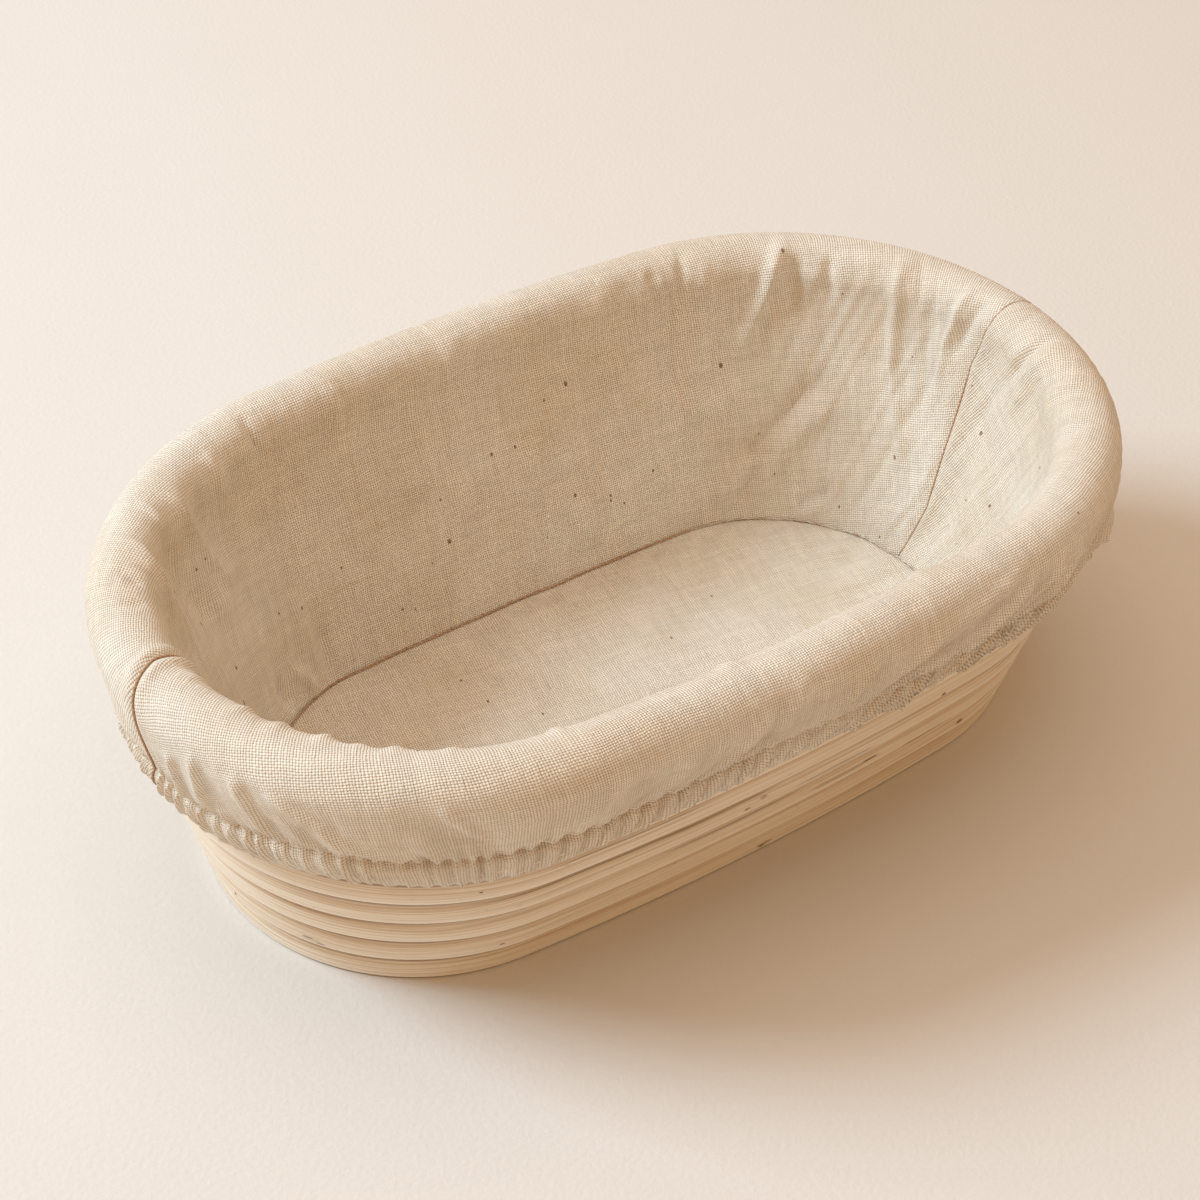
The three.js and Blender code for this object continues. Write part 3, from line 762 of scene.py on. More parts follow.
class BASKET_OT_wall(bpy.types.Operator):
    """Winds the two wall canes, with a wedge at each end and a scarf where they meet"""

    bl_idname = "basket.wall"
    bl_label = "Wall canes"

    def execute(self, context):
        basket, _ = sizes()
        section = rounded_section(
            basket.cane_width,
            basket.cane_height,
            basket.lower_edge,
            basket.upper_edge,
            basket.cane_crown,
        )
        scarf = basket.scarf_course * LOOP + QUARTER / 2
        middle = wall_route(scarf, scarf + CLIMB_STEPS)
        centre = middle[len(middle) // 2]
        slope = middle[-1] - middle[0] - np.array([0, 0, basket.cane_height])
        outward = wall_at(centre[2]).station(np.array(scarf + CLIMB_STEPS / 2 + CLIMB_END))[1]
        cut = np.cross(slope, [*outward, 0])
        cut *= np.sign(cut[2]) / np.linalg.norm(cut)
        joint = centre - np.array([*outward * basket.cane_width / 2, -basket.cane_height / 2])
        reach = (basket.cane_width * 4, basket.cane_width * 4, basket.course_pitch / 2)
        face = basket.cane_height + 0.0004
        material = cane_finish("wall_cane", basket.cane_height, face, WALL_MARKS)
        top = basket.courses * basket.course_pitch
        lower = swept("wall_lower", wall_route(TIP - CLIMB_STEPS, scarf + CLIMB_STEPS), section)
        press(lower, lambda points: np.clip(points, (-1, -1, 0), 1))
        finish_piece(lower, material, "basket", "wall_cane", "lower_wall_cane")
        stop = basket.courses * LOOP - TIP
        upper = swept("wall_upper", wall_route(scarf, stop), section)
        press(upper, lambda points: np.clip(points, -1, (1, 1, top)))
        finish_piece(upper, material, "basket", "wall_cane", "upper_wall_cane")
        for piece, side in ((lower, 1), (upper, -1)):
            gap = cut * side * basket.base_gap / 2
            trim(piece, joint - gap, cut * side, joint, reach)
        return {"FINISHED"}


class BASKET_OT_base(bpy.types.Operator):
    """Winds the base flat round its straight middle cane"""

    bl_idname = "basket.base"
    bl_label = "Base canes"

    def execute(self, context):
        basket, _ = sizes()
        course = wall_at((basket.course_pitch - basket.base_gap) / 2)
        inside = course.half_width - basket.cane_width - basket.heart_half_width
        pitch = (inside - basket.base_gap) / basket.base_turns
        width = pitch - basket.base_gap
        section = rounded_section(width, basket.base_thickness, 0.001, 0.001, 0.0003)
        steps = np.linspace(
            TIP - CLIMB_STEPS,
            basket.base_turns * LOOP - TIP,
            round((basket.base_turns * LOOP + CLIMB_STEPS) * 6),
        )
        out = wound_level(steps, pitch) + width - basket.cane_width - inside
        route = course.at(steps + CLIMB_END, out, 0.0)
        material = cane_finish("base_cane", basket.base_thickness, basket.base_thickness + width)
        coil = swept("base_winding", route, section)
        nearest, furthest = -basket.cane_width - inside, -basket.cane_width - basket.base_gap
        press(coil, lambda points: course.pressed(points, nearest, furthest))
        finish_piece(coil, material, "basket", "base_cane", "base_coil")
        self.heart_cane(course.grown(-basket.cane_width - inside - basket.base_gap), material)
        return {"FINISHED"}

    def heart_cane(self, oval, material):
        basket, _ = sizes()
        deselect()
        bpy.ops.mesh.primitive_circle_add(vertices=96, radius=1, fill_type="NGON")
        heart = bpy.context.object
        heart.name = "base_heart"
        steps, _ = oval.even_steps(0, LOOP, 97)
        outline = oval.at(steps[:-1], 0.0, 0.0)
        for vertex, place in zip(heart.data.vertices, outline):
            vertex.co = place
        bpy.ops.object.mode_set(mode="EDIT")
        bpy.ops.mesh.select_all(action="SELECT")
        lift = (0, 0, basket.base_thickness)
        bpy.ops.mesh.extrude_region_move(TRANSFORM_OT_translate={"value": lift})
        bpy.ops.mesh.select_all(action="SELECT")
        bpy.ops.mesh.normals_make_consistent(inside=False)
        bpy.ops.mesh.bevel(offset=0.0011, segments=4, affect="EDGES")
        bpy.ops.object.mode_set(mode="OBJECT")
        mesh = heart.data
        places = [mesh.vertices[loop.vertex_index].co for loop in mesh.loops]
        set_map(mesh, np.array([(place.x, 0.002 + place.y) for place in places]))
        bpy.ops.object.shade_smooth_by_angle(angle=math.radians(40))
        finish_piece(heart, material, "basket", "base_cane", "heart_cane")


class BASKET_OT_fasteners(bpy.types.Operator):
    """Gives the staples and pins of the frame their wire"""

    bl_idname = "basket.fasteners"
    bl_label = "Staples and pins"

    def execute(self, context):
        material = wire_finish("wire")
        for name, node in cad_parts.items():
            if "staple" in name or "pin_" in name:
                put_on(node, material)
        return {"FINISHED"}


# The liner's side panels: rows run from the floor seam up the inside, over the rim and down
INSIDE_ROWS, ROLL_ROWS, SKIRT_ROWS, CASING_ROWS, FOLD_ROWS, TURNED_ROWS = 38, 22, 24, 14, 4, 4
CREST_ROW = INSIDE_ROWS + ROLL_ROWS // 2
TOP_ROW = INSIDE_ROWS + ROLL_ROWS
STITCH_ROW = TOP_ROW + SKIRT_ROWS


def panel_rows(steps):
    """The smooth cloth before it is folded: points by row and column, and each row's run."""
    _, liner = sizes()
    half = liner.cloth / 2
    stand = liner.roll_standoff
    rim = wall_at(liner.roll_height)
    side = stand + liner.roll_slack
    roll = Oval(rim.half_length + stand, rim.half_width + side, rim.end_radius + side).grown(
        -liner.roll_radius
    )
    rows = []
    edge = floor_oval().at(steps, half, liner.seam_height)
    start = roll.grown(-liner.roll_radius).at(steps, half, liner.roll_height)
    normal = np.concatenate([roll.station(steps)[1], np.zeros((len(steps), 1))], -1)
    spread = ((start - edge) * normal).sum(-1, keepdims=True)
    for share in np.linspace(0, 1, INSIDE_ROWS, endpoint=False):
        swell = spread * share**4 * (1 - share)
        rows.append(edge + (start - edge) * share + normal * swell)
    radius = liner.roll_radius - half
    for turn in np.linspace(math.pi, 0, ROLL_ROWS, endpoint=False):
        lift = liner.roll_height + radius * math.sin(turn)
        rows.append(roll.at(steps, radius * math.cos(turn), lift))
    top = roll.at(steps, radius, liner.roll_height)
    stitch = wall_at(liner.stitch_height).at(steps, liner.outer_layer - half, liner.stitch_height)
    for share in np.linspace(0, 1, SKIRT_ROWS, endpoint=False):
        level = top + (stitch - top) * share
        pull = share**1.6 - share
        rows.append(level + normal * ((stitch - top) * normal).sum(-1, keepdims=True) * pull)
    bottom = liner.stitch_height - liner.hem_height
    for share in np.linspace(0, 1, CASING_ROWS, endpoint=False):
        z = liner.stitch_height - liner.hem_height * share
        puff = 0.0009 * math.sin(math.pi * share) ** 0.7 + half * share
        rows.append(wall_at(z).at(steps, liner.outer_layer - half + puff, z))
    middle = (liner.inner_layer + liner.outer_layer) / 2
    radius = (liner.outer_layer - liner.inner_layer) / 2
    for turn in np.linspace(0, math.pi, FOLD_ROWS, endpoint=False):
        z = bottom - radius * 0.6 * math.sin(turn)
        rows.append(wall_at(bottom).at(steps, middle + radius * math.cos(turn), z))
    for z in np.linspace(bottom, liner.stitch_height, TURNED_ROWS):
        rows.append(wall_at(z).at(steps, liner.inner_layer, z))
    rows = np.array(rows)
    gaps = np.linalg.norm(np.diff(rows, axis=0), axis=-1).mean(-1)
    return rows, np.concatenate([[0.0], np.cumsum(gaps)])


def flat_pattern(rows, run):
    """The panel laid flat: the ruled cloth inside the basket unrolled, and drawn on past it."""
    low, high = rows[0], rows[INSIDE_ROWS]
    flat_low, flat_high = [np.zeros(2)], [np.array([0.0, np.linalg.norm(high[0] - low[0])])]

    def third(a, b, from_a, from_b):
        base = np.linalg.norm(b - a)
        x = (base**2 + from_a**2 - from_b**2) / (2 * base)
        y = math.sqrt(max(from_a**2 - x * x, 0.0))
        along = (b - a) / base
        return a + along * x + np.array([along[1], -along[0]]) * y

    for i in range(1, low.shape[0]):
        a, b = flat_low[-1], flat_high[-1]
        to_low = np.linalg.norm(low[i] - low[i - 1]), np.linalg.norm(low[i] - high[i - 1])
        c = third(a, b, *to_low)
        to_high = np.linalg.norm(high[i] - low[i]), np.linalg.norm(high[i] - high[i - 1])
        flat_low.append(c)
        flat_high.append(third(c, b, *to_high))
    flat_low, flat_high = np.array(flat_low), np.array(flat_high)
    middle = flat_high[len(flat_high) // 2] - flat_low[len(flat_low) // 2]
    turn = math.atan2(middle[0], middle[1])
    spin = np.array([[math.cos(turn), -math.sin(turn)], [math.sin(turn), math.cos(turn)]])
    flat_low, flat_high = flat_low @ spin.T, flat_high @ spin.T
    along = flat_high - flat_low
    share = (run / run[INSIDE_ROWS])[:, None, None]
    return flat_low[None] + along[None] * share


def grid_normals(points):
    down = np.gradient(points, axis=0)
    across = np.gradient(points, axis=1)
    normal = np.cross(down, across)
    return normal / np.maximum(np.linalg.norm(normal, axis=-1, keepdims=True), 1e-12)


def cloth_mesh(name, points, flat, fold_shade=None):
    """One sheet of cloth from rows and columns of points, with its flat pattern as UV map.

    How deep each point lies between the folds is kept as an attribute, for painted shade.
    """
    count, width = points.shape[:2]
    index = np.arange(count * width).reshape(count, width)
    faces = np.stack([index[:-1, :-1], index[1:, :-1], index[1:, 1:], index[:-1, 1:]], -1)
    faces = faces.reshape(-1, 4)
    mesh = bpy.data.meshes.new(name)
    mesh.from_pydata(points.reshape(-1, 3).tolist(), [], faces.tolist())
    set_map(mesh, flat.reshape(-1, 2)[faces.ravel()])
    if fold_shade is not None:
        kept = mesh.attributes.new("fold_shade", "FLOAT", "POINT")
        kept.data.foreach_set("value", fold_shade.ravel().astype(np.float32))
    mesh.shade_smooth()
    piece = bpy.data.objects.new(name, mesh)
    bpy.context.collection.objects.link(piece)
    return piece


def ridge(run_round, run_up, path, width, height):
    """A soft ridge or, with a negative height, a dent along a path on the cloth."""
    best = np.full(run_round.shape, 1e9)
    share_at = np.zeros_like(best)
    path = np.array(path) / 1000
    width, height = width / 1000, height / 1000
    lengths = np.linalg.norm(np.diff(path, axis=0), axis=1)
    before = 0.0
    for first, second, size in zip(path[:-1], path[1:], lengths):
        step = (second - first) / size
        x, y = run_round - first[0], run_up - first[1]
        along = np.clip(x * step[0] + y * step[1], 0, size)
        away = np.hypot(x - along * step[0], y - along * step[1])
        nearer = away < best
        best = np.where(nearer, away, best)
        share_at = np.where(nearer, (before + along) / lengths.sum(), share_at)
        before += size
    fade = smooth(share_at * 3.5 + 0.1) * smooth((1 - share_at) * 3.5 + 0.25)
    return height * np.exp(-((best / width) ** 2)) * fade


# The pleats' lean and depth by run round the rim in mm: they lean one way at the front left and
# the other at the front right
PLEAT_LEAN = (
    (0, 0.1), (40, 0.5), (110, 0.9), (165, 0.0), (250, -0.8), (300, -0.4), (330, 0.0),
    (355, 0.25), (370, 0.45), (390, 0.8), (410, 0.5), (430, 0.1), (450, -0.3), (475, -0.6),
    (500, -0.9), (530, -1.5), (560, -1.3), (600, -0.5), (661.5, 0.1),
)
PLEAT_DEPTH = (
    (0, 1.1), (165, 0.9), (330, 0.8), (390, 0.8), (430, 1.2), (500, 1.3), (560, 1.5), (661.5, 1.2)
)
# Spacing of the gathers above the stitch, and how far the skirt can sink towards the canes
GATHER, SKIRT_ROOM = 0.0062, 0.001
# Folds of the cloth: height and half width, then points as run round and run up, all in mm
SKIRT_FOLDS = (
    (1.5, 1.8, (364.4, 88), (366.5, 96), (371, 107)),
    (1.3, 1.7, (353.1, 88), (353.9, 104)),
    (1.3, 1.6, (344, 92), (346, 106)),
    (1.7, 1.7, (371.5, 90), (377.5, 93.5), (383.5, 97), (386.2, 101), (389.3, 107)),
    (1.2, 1.6, (386.4, 98), (391, 103.5), (397.3, 105.5), (404, 106)),
    (-1.0, 3.8, (396.6, 90.2), (405.3, 93.3), (415.5, 97.2)),
    (1.0, 1.2, (406.6, 88.5), (411, 93.5), (415.6, 99.4)),
    (-0.9, 1.4, (403, 96), (410, 99), (417, 101)),
    (-1.0, 1.6, (357.5, 93), (359.5, 104)),
    (-1.2, 1.5, (371.5, 98), (376, 106.5)),
    (-1.0, 1.6, (379, 98.5), (382, 106)),
    (1.0, 2.4, (490.8, 84), (486.4, 90), (481.4, 97)),
    (1.2, 2.0, (479.2, 88.6), (475, 97), (470, 104)),
    (-1.0, 2.6, (484, 93), (477, 101), (472, 106)),
    (1.3, 1.8, (554.8, 85), (544.8, 87.7), (527.2, 90.9), (513.4, 96.1)),
    (1.5, 1.7, (555, 89), (546, 95.5), (533, 104)),
    (-1.3, 2.2, (549, 90), (538, 94), (525, 100)),
    (-1.3, 2.0, (561.9, 90.5), (551, 98), (541, 105)),
    (1.3, 1.8, (566, 90), (556, 96), (547, 104)),
    (1.1, 1.7, (575, 91), (566.6, 96.5), (560, 104)),
    (-1.1, 1.8, (572, 92), (565, 101)),
    (1.0, 1.9, (508, 88), (501, 97), (497, 104)),
    (1.0, 1.9, (463, 91), (458, 100), (453, 105)),
    (0.8, 2.2, (447, 90), (438, 99), (430, 104)),
    (-0.8, 2.4, (452, 92), (444, 99)),
    (1.1, 2.0, (590, 93), (586, 104)),
    (1.1, 2.0, (606, 94), (604, 104)),
    (1.0, 2.0, (622, 93), (624, 104)),
    (1.1, 2.0, (640, 94), (643, 104)),
    (1.0, 1.8, (654, 94), (655, 104)),
)
INNER_FOLDS = (
    (1.9, 3.0, (263.0, 77), (265.9, 67.8), (262.1, 52.6), (258, 42)),
    (1.5, 2.6, (284.7, 78), (292.6, 71), (295, 62), (291, 52)),
    (1.0, 1.6, (271.6, 79), (274.2, 74), (276.6, 69)),
    (-1.9, 4.4, (275.9, 72.5), (276.7, 59.4), (273, 42.5), (270, 34)),
    (1.1, 3.2, (250.8, 47), (262.4, 41.1), (276.7, 38)),
    (-1.3, 1.6, (296.5, 78.5), (303.3, 74)),
    (-1.2, 1.5, (309, 79.5), (311, 74)),
    (0.9, 2.2, (247.5, 74), (246.6, 60)),
    (-1.1, 1.5, (231.2, 76.7), (230.9, 66)),
    (1.2, 2.0, (252.1, 13.3), (246, 6), (241.4, 1)),
    (-1.3, 3.2, (259.8, 12), (256.8, 2)),
    (-1.1, 2.6, (231.5, 17.6), (234.8, 2)),
    (0.9, 2.8, (236.5, 30), (240.3, 8.8)),
    (0.9, 3.0, (125.5, 74), (136.6, 54.6), (159.7, 30)),
    (-0.9, 1.5, (112, 74), (112, 64)),
    (-0.8, 2.5, (120, 74), (121, 60)),
    (1.1, 3.0, (95.5, 76), (96.5, 50), (101, 28)),
    (-0.9, 1.5, (101, 78), (103, 70), (105, 62)),
    (-0.7, 3.2, (108, 70), (107.5, 40)),
    (2.0, 2.5, (70, 80), (73.9, 69), (76.4, 61), (80, 54), (87, 43)),
    (-1.7, 2.6, (66, 74), (67.5, 66), (66, 54)),
    (-1.1, 2.0, (57.5, 74), (56, 60)),
    (-1.7, 2.6, (52, 44), (57.7, 37), (67.6, 27.8), (77, 19.1), (91, 17)),
    (1.5, 3.4, (46, 36), (59, 26), (68, 16), (74, 6)),
    (-1.4, 1.8, (73, 16), (75.3, 12.8), (80, 6.6), (85, 1.7)),
    (1.4, 2.0, (79, 14), (81.7, 11.7), (92, 6.3)),
    (-0.5, 0.9, (47.5, 25), (46.9, 20.8), (45.5, 12)),
    (1.2, 5.0, (82, 40), (92, 34), (104, 32)),
    (1.1, 1.6, (57, 1.2), (50.5, 3.2), (43, 6.5)),
    (-1.1, 1.2, (58, 4), (50.5, 6.8), (42.5, 10.3)),
    (1.6, 2.6, (37.5, 83), (34, 64), (31, 46), (14, 21)),
    (-0.6, 1.2, (32, 80), (28.1, 70.8), (26, 64)),
    (-1.0, 2.6, (22.9, 71), (17.6, 48), (13, 36)),
    (1.3, 2.0, (12.4, 78), (11, 62.7), (10.3, 48)),
    (-0.8, 1.8, (6, 76), (6.5, 56)),
    (-1.3, 1.5, (643.1, 80), (643.3, 71.8), (646, 60)),
    (0.9, 2.4, (638.5, 79), (638, 68), (641, 56)),
    (-0.6, 1.3, (655.5, 83), (653, 74)),
    (-0.9, 1.4, (607.5, 80), (602.2, 72)),
    (0.9, 2.6, (625, 80), (620, 55)),
    (0.6, 1.8, (357, 79), (358, 64)),
    (0.9, 2.2, (368.3, 79), (368, 62)),
    (0.9, 1.9, (379.6, 79), (380, 64)),
    (0.5, 1.8, (389, 79), (388, 64)),
    (0.8, 2.0, (396, 79), (399, 60)),
    (0.6, 2.0, (409, 79), (412, 56)),
    (0.8, 2.2, (434, 80), (437, 50)),
    (0.8, 2.4, (478, 80), (472, 48)),
    (0.7, 2.6, (531, 80), (528, 40)),
    (0.5, 1.8, (340, 79), (341, 66)),
    (0.7, 3.0, (170, 80), (176, 50), (178, 20)),
    (-0.6, 3.0, (186, 74), (190, 40)),
    (0.7, 2.6, (206, 80), (205, 52)),
    (0.6, 3.6, (214, 40), (196, 14)),
    (0.6, 3.0, (150, 24), (136, 6)),
)


def pleats(run, round_it, seed, spacing, spread):
    """Narrow ridges with rounded pockets between them, uneven in width and height."""
    dice = np.random.default_rng(seed)
    widths = spacing * (1 + spread * (2 * dice.random(int(round_it / spacing)) - 1))
    ridges = np.concatenate([[0.0], np.cumsum(widths)]) * round_it / widths.sum()
    heights = 0.45 + 0.75 * dice.random(len(widths))
    place = np.mod(run, round_it)
    which = np.clip(np.searchsorted(ridges, place, side="right") - 1, 0, len(widths) - 1)
    share = (place - ridges[which]) / (ridges[which + 1] - ridges[which])
    return heights[which] * (0.6 - np.sin(math.pi * np.clip(share, 0, 1)))


def fold_depth(run_round, round_it, run, shape):
    """How far the cloth stands out at each row and column: pleats, gathers and creases."""
    _, liner = sizes()
    stitch = run[STITCH_ROW]
    crest = run[CREST_ROW]
    top = run[TOP_ROW]
    S = np.broadcast_to(run_round[None], shape)
    T = np.broadcast_to(run[:, None], shape)
    above = np.clip((stitch - T) / (stitch - top), 0, 2)
    below = np.clip(T - stitch, 0, None)
    place = np.mod(S, round_it)
    slope = np.interp(place * 1000, *zip(*PLEAT_LEAN))
    # Towards the front right the gathers are long and run on through the stitch
    right = smooth((place - 0.465) / 0.04) * smooth((0.657 - place) / 0.03)
    leant = S - slope * np.clip(T - stitch, -0.016, 0) - (0.4 + 0.5 * right) * slope * below
    on_skirt = (T > crest) & (T < stitch)
    depth = np.zeros(shape)
    hem_end = smooth((0.0105 - below) / 0.003)
    casing = smooth(below / 0.0012) * hem_end
    small = pleats(leant, round_it, 41, liner.pleat, 0.4)
    fine = pleats(leant, round_it, 43, 0.55 * liner.pleat, 0.5)
    deep = np.interp(place * 1000, *zip(*PLEAT_DEPTH))
    deep = deep * np.clip(1 + 0.3 * wander(S, round_it, 45, 4), 0.5, 1.5)
    depth += (0.0015 * small * deep * (1 - 0.45 * right) + 0.0005 * fine) * casing
    rise = (stitch - T).clip(0)
    at_stitch = np.exp(-((T - stitch) / 0.0013) ** 2) * (1 - 0.85 * right)
    pockets = smooth(0.45 - 0.9 * small)
    depth -= (0.0002 + 0.0010 * pockets) * at_stitch
    depth += on_skirt * 0.0011 * small * deep * np.exp(-rise / 0.003) * (1 - at_stitch)
    medium = pleats(leant, round_it, 42, GATHER, 0.45)
    strong = np.clip(0.7 + 0.6 * wander(S, round_it, 30, 6), 0.15, 1.5)
    lasting = np.exp(-rise / (0.0065 + 0.0045 * right))
    gathers = on_skirt * 0.0012 * (1 + 0.7 * right) * medium * strong
    depth += gathers * smooth(rise / 0.002) * lasting
    depth += right * 0.0016 * medium * strong * smooth(below / 0.0006) * hem_end
    broad = wander(leant, round_it, 44, 7)
    depth += on_skirt * 0.0008 * broad * smooth(rise / 0.004) * smooth((1.0 - above) / 0.7)
    for size, width, *path in SKIRT_FOLDS:
        if size > 0:
            size *= 1.25 if path[0][0] > 500 else 0.8
            fold = ridge(S, T, path, width, size)
            fold -= 0.5 * ridge(S - 0.0024, T, path, width * 1.4, size)
        else:
            fold = 0.6 * ridge(S, T, path, width, size)
        depth += fold * (T < stitch + 0.0005)
    sunk = on_skirt & (depth < 0)
    depth = np.where(sunk, -SKIRT_ROOM * np.tanh(-depth / SKIRT_ROOM), depth)
    over_crest = 1 - 0.8 * smooth((T - 0.070) / 0.010)
    for size, width, *path in INNER_FOLDS:
        depth += ridge(S, T, path, width, size) * over_crest
    inside = smooth(T / 0.01) * smooth((crest - T) / 0.02)
    ends = np.abs(np.cos(2 * math.pi * S / round_it)) ** 2
    drift = S + 0.006 * np.sin(T / 0.02)
    depth += 0.0006 * inside * wander(drift, round_it, 34, 9) * (0.3 + 0.7 * ends)
    depth += 0.00016 * wander(S + 0.4 * T, round_it, 150, 10) * inside
    depth += 0.0003 * np.sin(S / 0.011 + 2 * np.sin(T / 0.013)) * np.sin(T / 0.009) * inside
    return depth


def fold_shade_mask(depth, run_round, round_it, run):
    """Depth of each point of the skirt and the hem between the folds, from 0 to 1, for painted
    shade.
    """
    crest = run[CREST_ROW]
    stitch = run[STITCH_ROW]
    below = np.interp(run, [crest + 0.004, crest + 0.012, stitch], [0.0, 0.5, 1.0])[:, None]
    places = np.array([0, 165, 330, 385, 420, 655, 661.5]) / 1000
    strength = np.interp(np.mod(run_round, round_it), places, [0.5, 0.5, 0.3, 0.5, 1.0, 1.0, 0.5])
    return smooth(0.1 - depth / 0.0015) * below * strength[None]


def hem_lift(run_round):
    """The hem sits a little lower at the front left and higher at the front right."""
    places = np.array([0, 100, 200, 330, 390, 430, 490, 560, 620, 661.5]) / 1000
    return np.interp(run_round, places, np.array([0, 3, -3, -7, -6, 6, 16, 20, 12, 0]) / 10000)


def stitch_drop(run_round, round_it, run, shape):
    """How far the stitch line and the hem's edge dip between their pleats."""
    _, liner = sizes()
    stitch = run[STITCH_ROW]
    S = np.broadcast_to(run_round[None], shape)
    T = np.broadcast_to(run[:, None], shape)
    near = smooth(1 - np.abs(T - stitch) / 0.006)
    low = smooth((T - stitch - 0.004) / 0.004)
    scallop = pleats(S, round_it, 42, GATHER, 0.45)
    small = pleats(S, round_it, 41, liner.pleat, 0.4)
    wave = wander(S, round_it, 12, 31)
    drop = (0.0006 * wave - 0.0005 * scallop - 0.0004 * small) * near
    drop = drop + low * (0.0006 * small + 0.0003 * scallop + 0.0006 * wave)
    return drop + hem_lift(S) * smooth((T - stitch + 0.012) / 0.012)


SEAMS = {}
ARC_MIDDLE = 0.047


class BASKET_OT_side_panels(bpy.types.Operator):
    """Makes the two side panels, rolled over the rim and gathered into the hem"""

    bl_idname = "basket.side_panels"
    bl_label = "Side panels"

    def execute(self, context):
        _, liner = sizes()
        rim = wall_at(liner.roll_height)
        cloth = cloth_finish("side_cloth", 0.36)
        _, round_it = rim.even_steps(0, LOOP, 9)
        for name, node, start, side in (
            ("liner_far_side", "far_side_panel", 0, 1),
            ("liner_near_side", "near_side_panel", HALF_LOOP, -1),
        ):
            steps, half_round = rim.even_steps(start, start + HALF_LOOP, liner.columns)
            rows, run = panel_rows(steps)
            flat = flat_pattern(rows, run)
            run_round = np.linspace(0, half_round, liner.columns) + (round_it / 2 if start else 0)
            shape = rows.shape[:2]
            depth = fold_depth(run_round, round_it, run, shape)
            from_seam = np.minimum(run_round - run_round[0], run_round[-1] - run_round)[None]
            depth = depth * (0.25 + 0.75 * smooth(from_seam / 0.004))
            left = (np.abs(run_round - round_it / 2) < 0.05)[None]
            depth -= np.where(left, 0.0005, 0.0002) * np.exp(-((from_seam / 0.0010) ** 2))
            fold = np.where(left, 0.0009 if side < 0 else 0.0006, 0.0001)
            fold = fold * np.interp(run, [0.0, 0.078, 0.092], [1.0, 1.0, 0.3])[:, None]
            depth += fold * np.exp(-(((from_seam - 0.0026) / 0.0016) ** 2))
            points = rows + grid_normals(rows) * depth[..., None]
            points[..., 2] += stitch_drop(run_round, round_it, run, shape)
            points[..., 1] += side * liner.seam_gap / 2 * np.exp(-((from_seam / 0.002) ** 2))
            points = self.drift_seams(points, run)
            panel = cloth_mesh(name, points, flat, fold_shade_mask(depth, run_round, round_it, run))
            finish_piece(panel, cloth, "liner", "side_cloth", node)
            self.declare(panel, flat)
            SEAMS[name] = points
        return {"FINISHED"}

    @staticmethod
    def drift_seams(points, run):
        """The end seams don't run straight: they wander a little to either side."""
        _, liner = sizes()
        right = np.interp(
            run,
            [0.0, 0.017, 0.038, 0.057, 0.07, 0.085, 0.105],
            [0.0045, 0.0012, 0.0025, 0.0042, 0.0015, 0.0008, 0.0],
        )
        left = np.interp(
            run,
            [0.0, 0.064, 0.078, 0.09, 0.105, 0.118],
            [0.0, 0.0003, -0.0006, -0.0056, -0.0060, -0.002],
        )
        # Each end turns about the middle of its arc
        end = np.sign(points[..., 0])
        middle = end * ARC_MIDDLE
        x, y = points[..., 0] - middle, points[..., 1]
        shift = np.where(end > 0, right[:, None], left[:, None]) * np.exp(-((y / 0.02) ** 2))
        turn = end * shift / np.hypot(x, y)
        moved = points.copy()
        moved[..., 0] = middle + x * np.cos(turn) - y * np.sin(turn)
        moved[..., 1] = x * np.sin(turn) + y * np.cos(turn)
        return moved

    @staticmethod
    def declare(panel, flat):
        a, b = flat[:-1, :-1], flat[1:, 1:]
        c, d = flat[1:, :-1], flat[:-1, 1:]
        one, other = b - a, d - c
        twice = np.abs(one[..., 0] * other[..., 1] - one[..., 1] * other[..., 0]).sum()



FLOOR_POINTS, FLOOR_RINGS = 721, 60
FLOOR_OVERLAP = 0.0004


class BASKET_OT_floor_panel(bpy.types.Operator):
    """Lays the liner's floor, a little loose and puckered along its seam"""

    bl_idname = "basket.floor_panel"
    bl_label = "Floor panel"

    def execute(self, context):
        floor = floor_oval().grown(FLOOR_OVERLAP)
        steps, round_it = floor.even_steps(0, LOOP, FLOOR_POINTS)
        edge = floor.station(steps)[0]
        run = np.linspace(0, round_it, FLOOR_POINTS)
        rows = []
        for share in 1 - np.linspace(0, 1, FLOOR_RINGS) ** 1.25:
            place = edge * share
            rows.append(np.column_stack([place, self.height(place, run, round_it, share)]))
        points = np.array(rows)[:, ::-1]
        panel = cloth_mesh("liner_floor", points, points[..., :2])
        merge_points(panel, 1e-5, outwards=False)
        cloth = cloth_finish("floor_cloth", 0.12, math.radians(-10))
        finish_piece(panel, cloth, "liner", "floor_cloth", "floor_panel")
        return {"FINISHED"}

    @staticmethod
    def height(place, run, round_it, share):
        x, y = place[:, 0], place[:, 1]
        loose = 0.0005 * np.sin(x / 0.013 + 1.2 * np.sin(y / 0.017)) * np.sin(y / 0.019 + x / 0.04)
        loose += 0.0003 * np.sin(x / 0.007 - y / 0.009 + 2 * np.sin(x / 0.03))
        pucker = 0.0006 * wander(run, round_it, 60, 12) * np.exp(-(((1 - share) / 0.12) ** 2) / 2)
        soft = (loose + 0.0008) * smooth((1 - share) * 5)
        return 0.0081 + soft + pucker * smooth((1 - share) * 12)


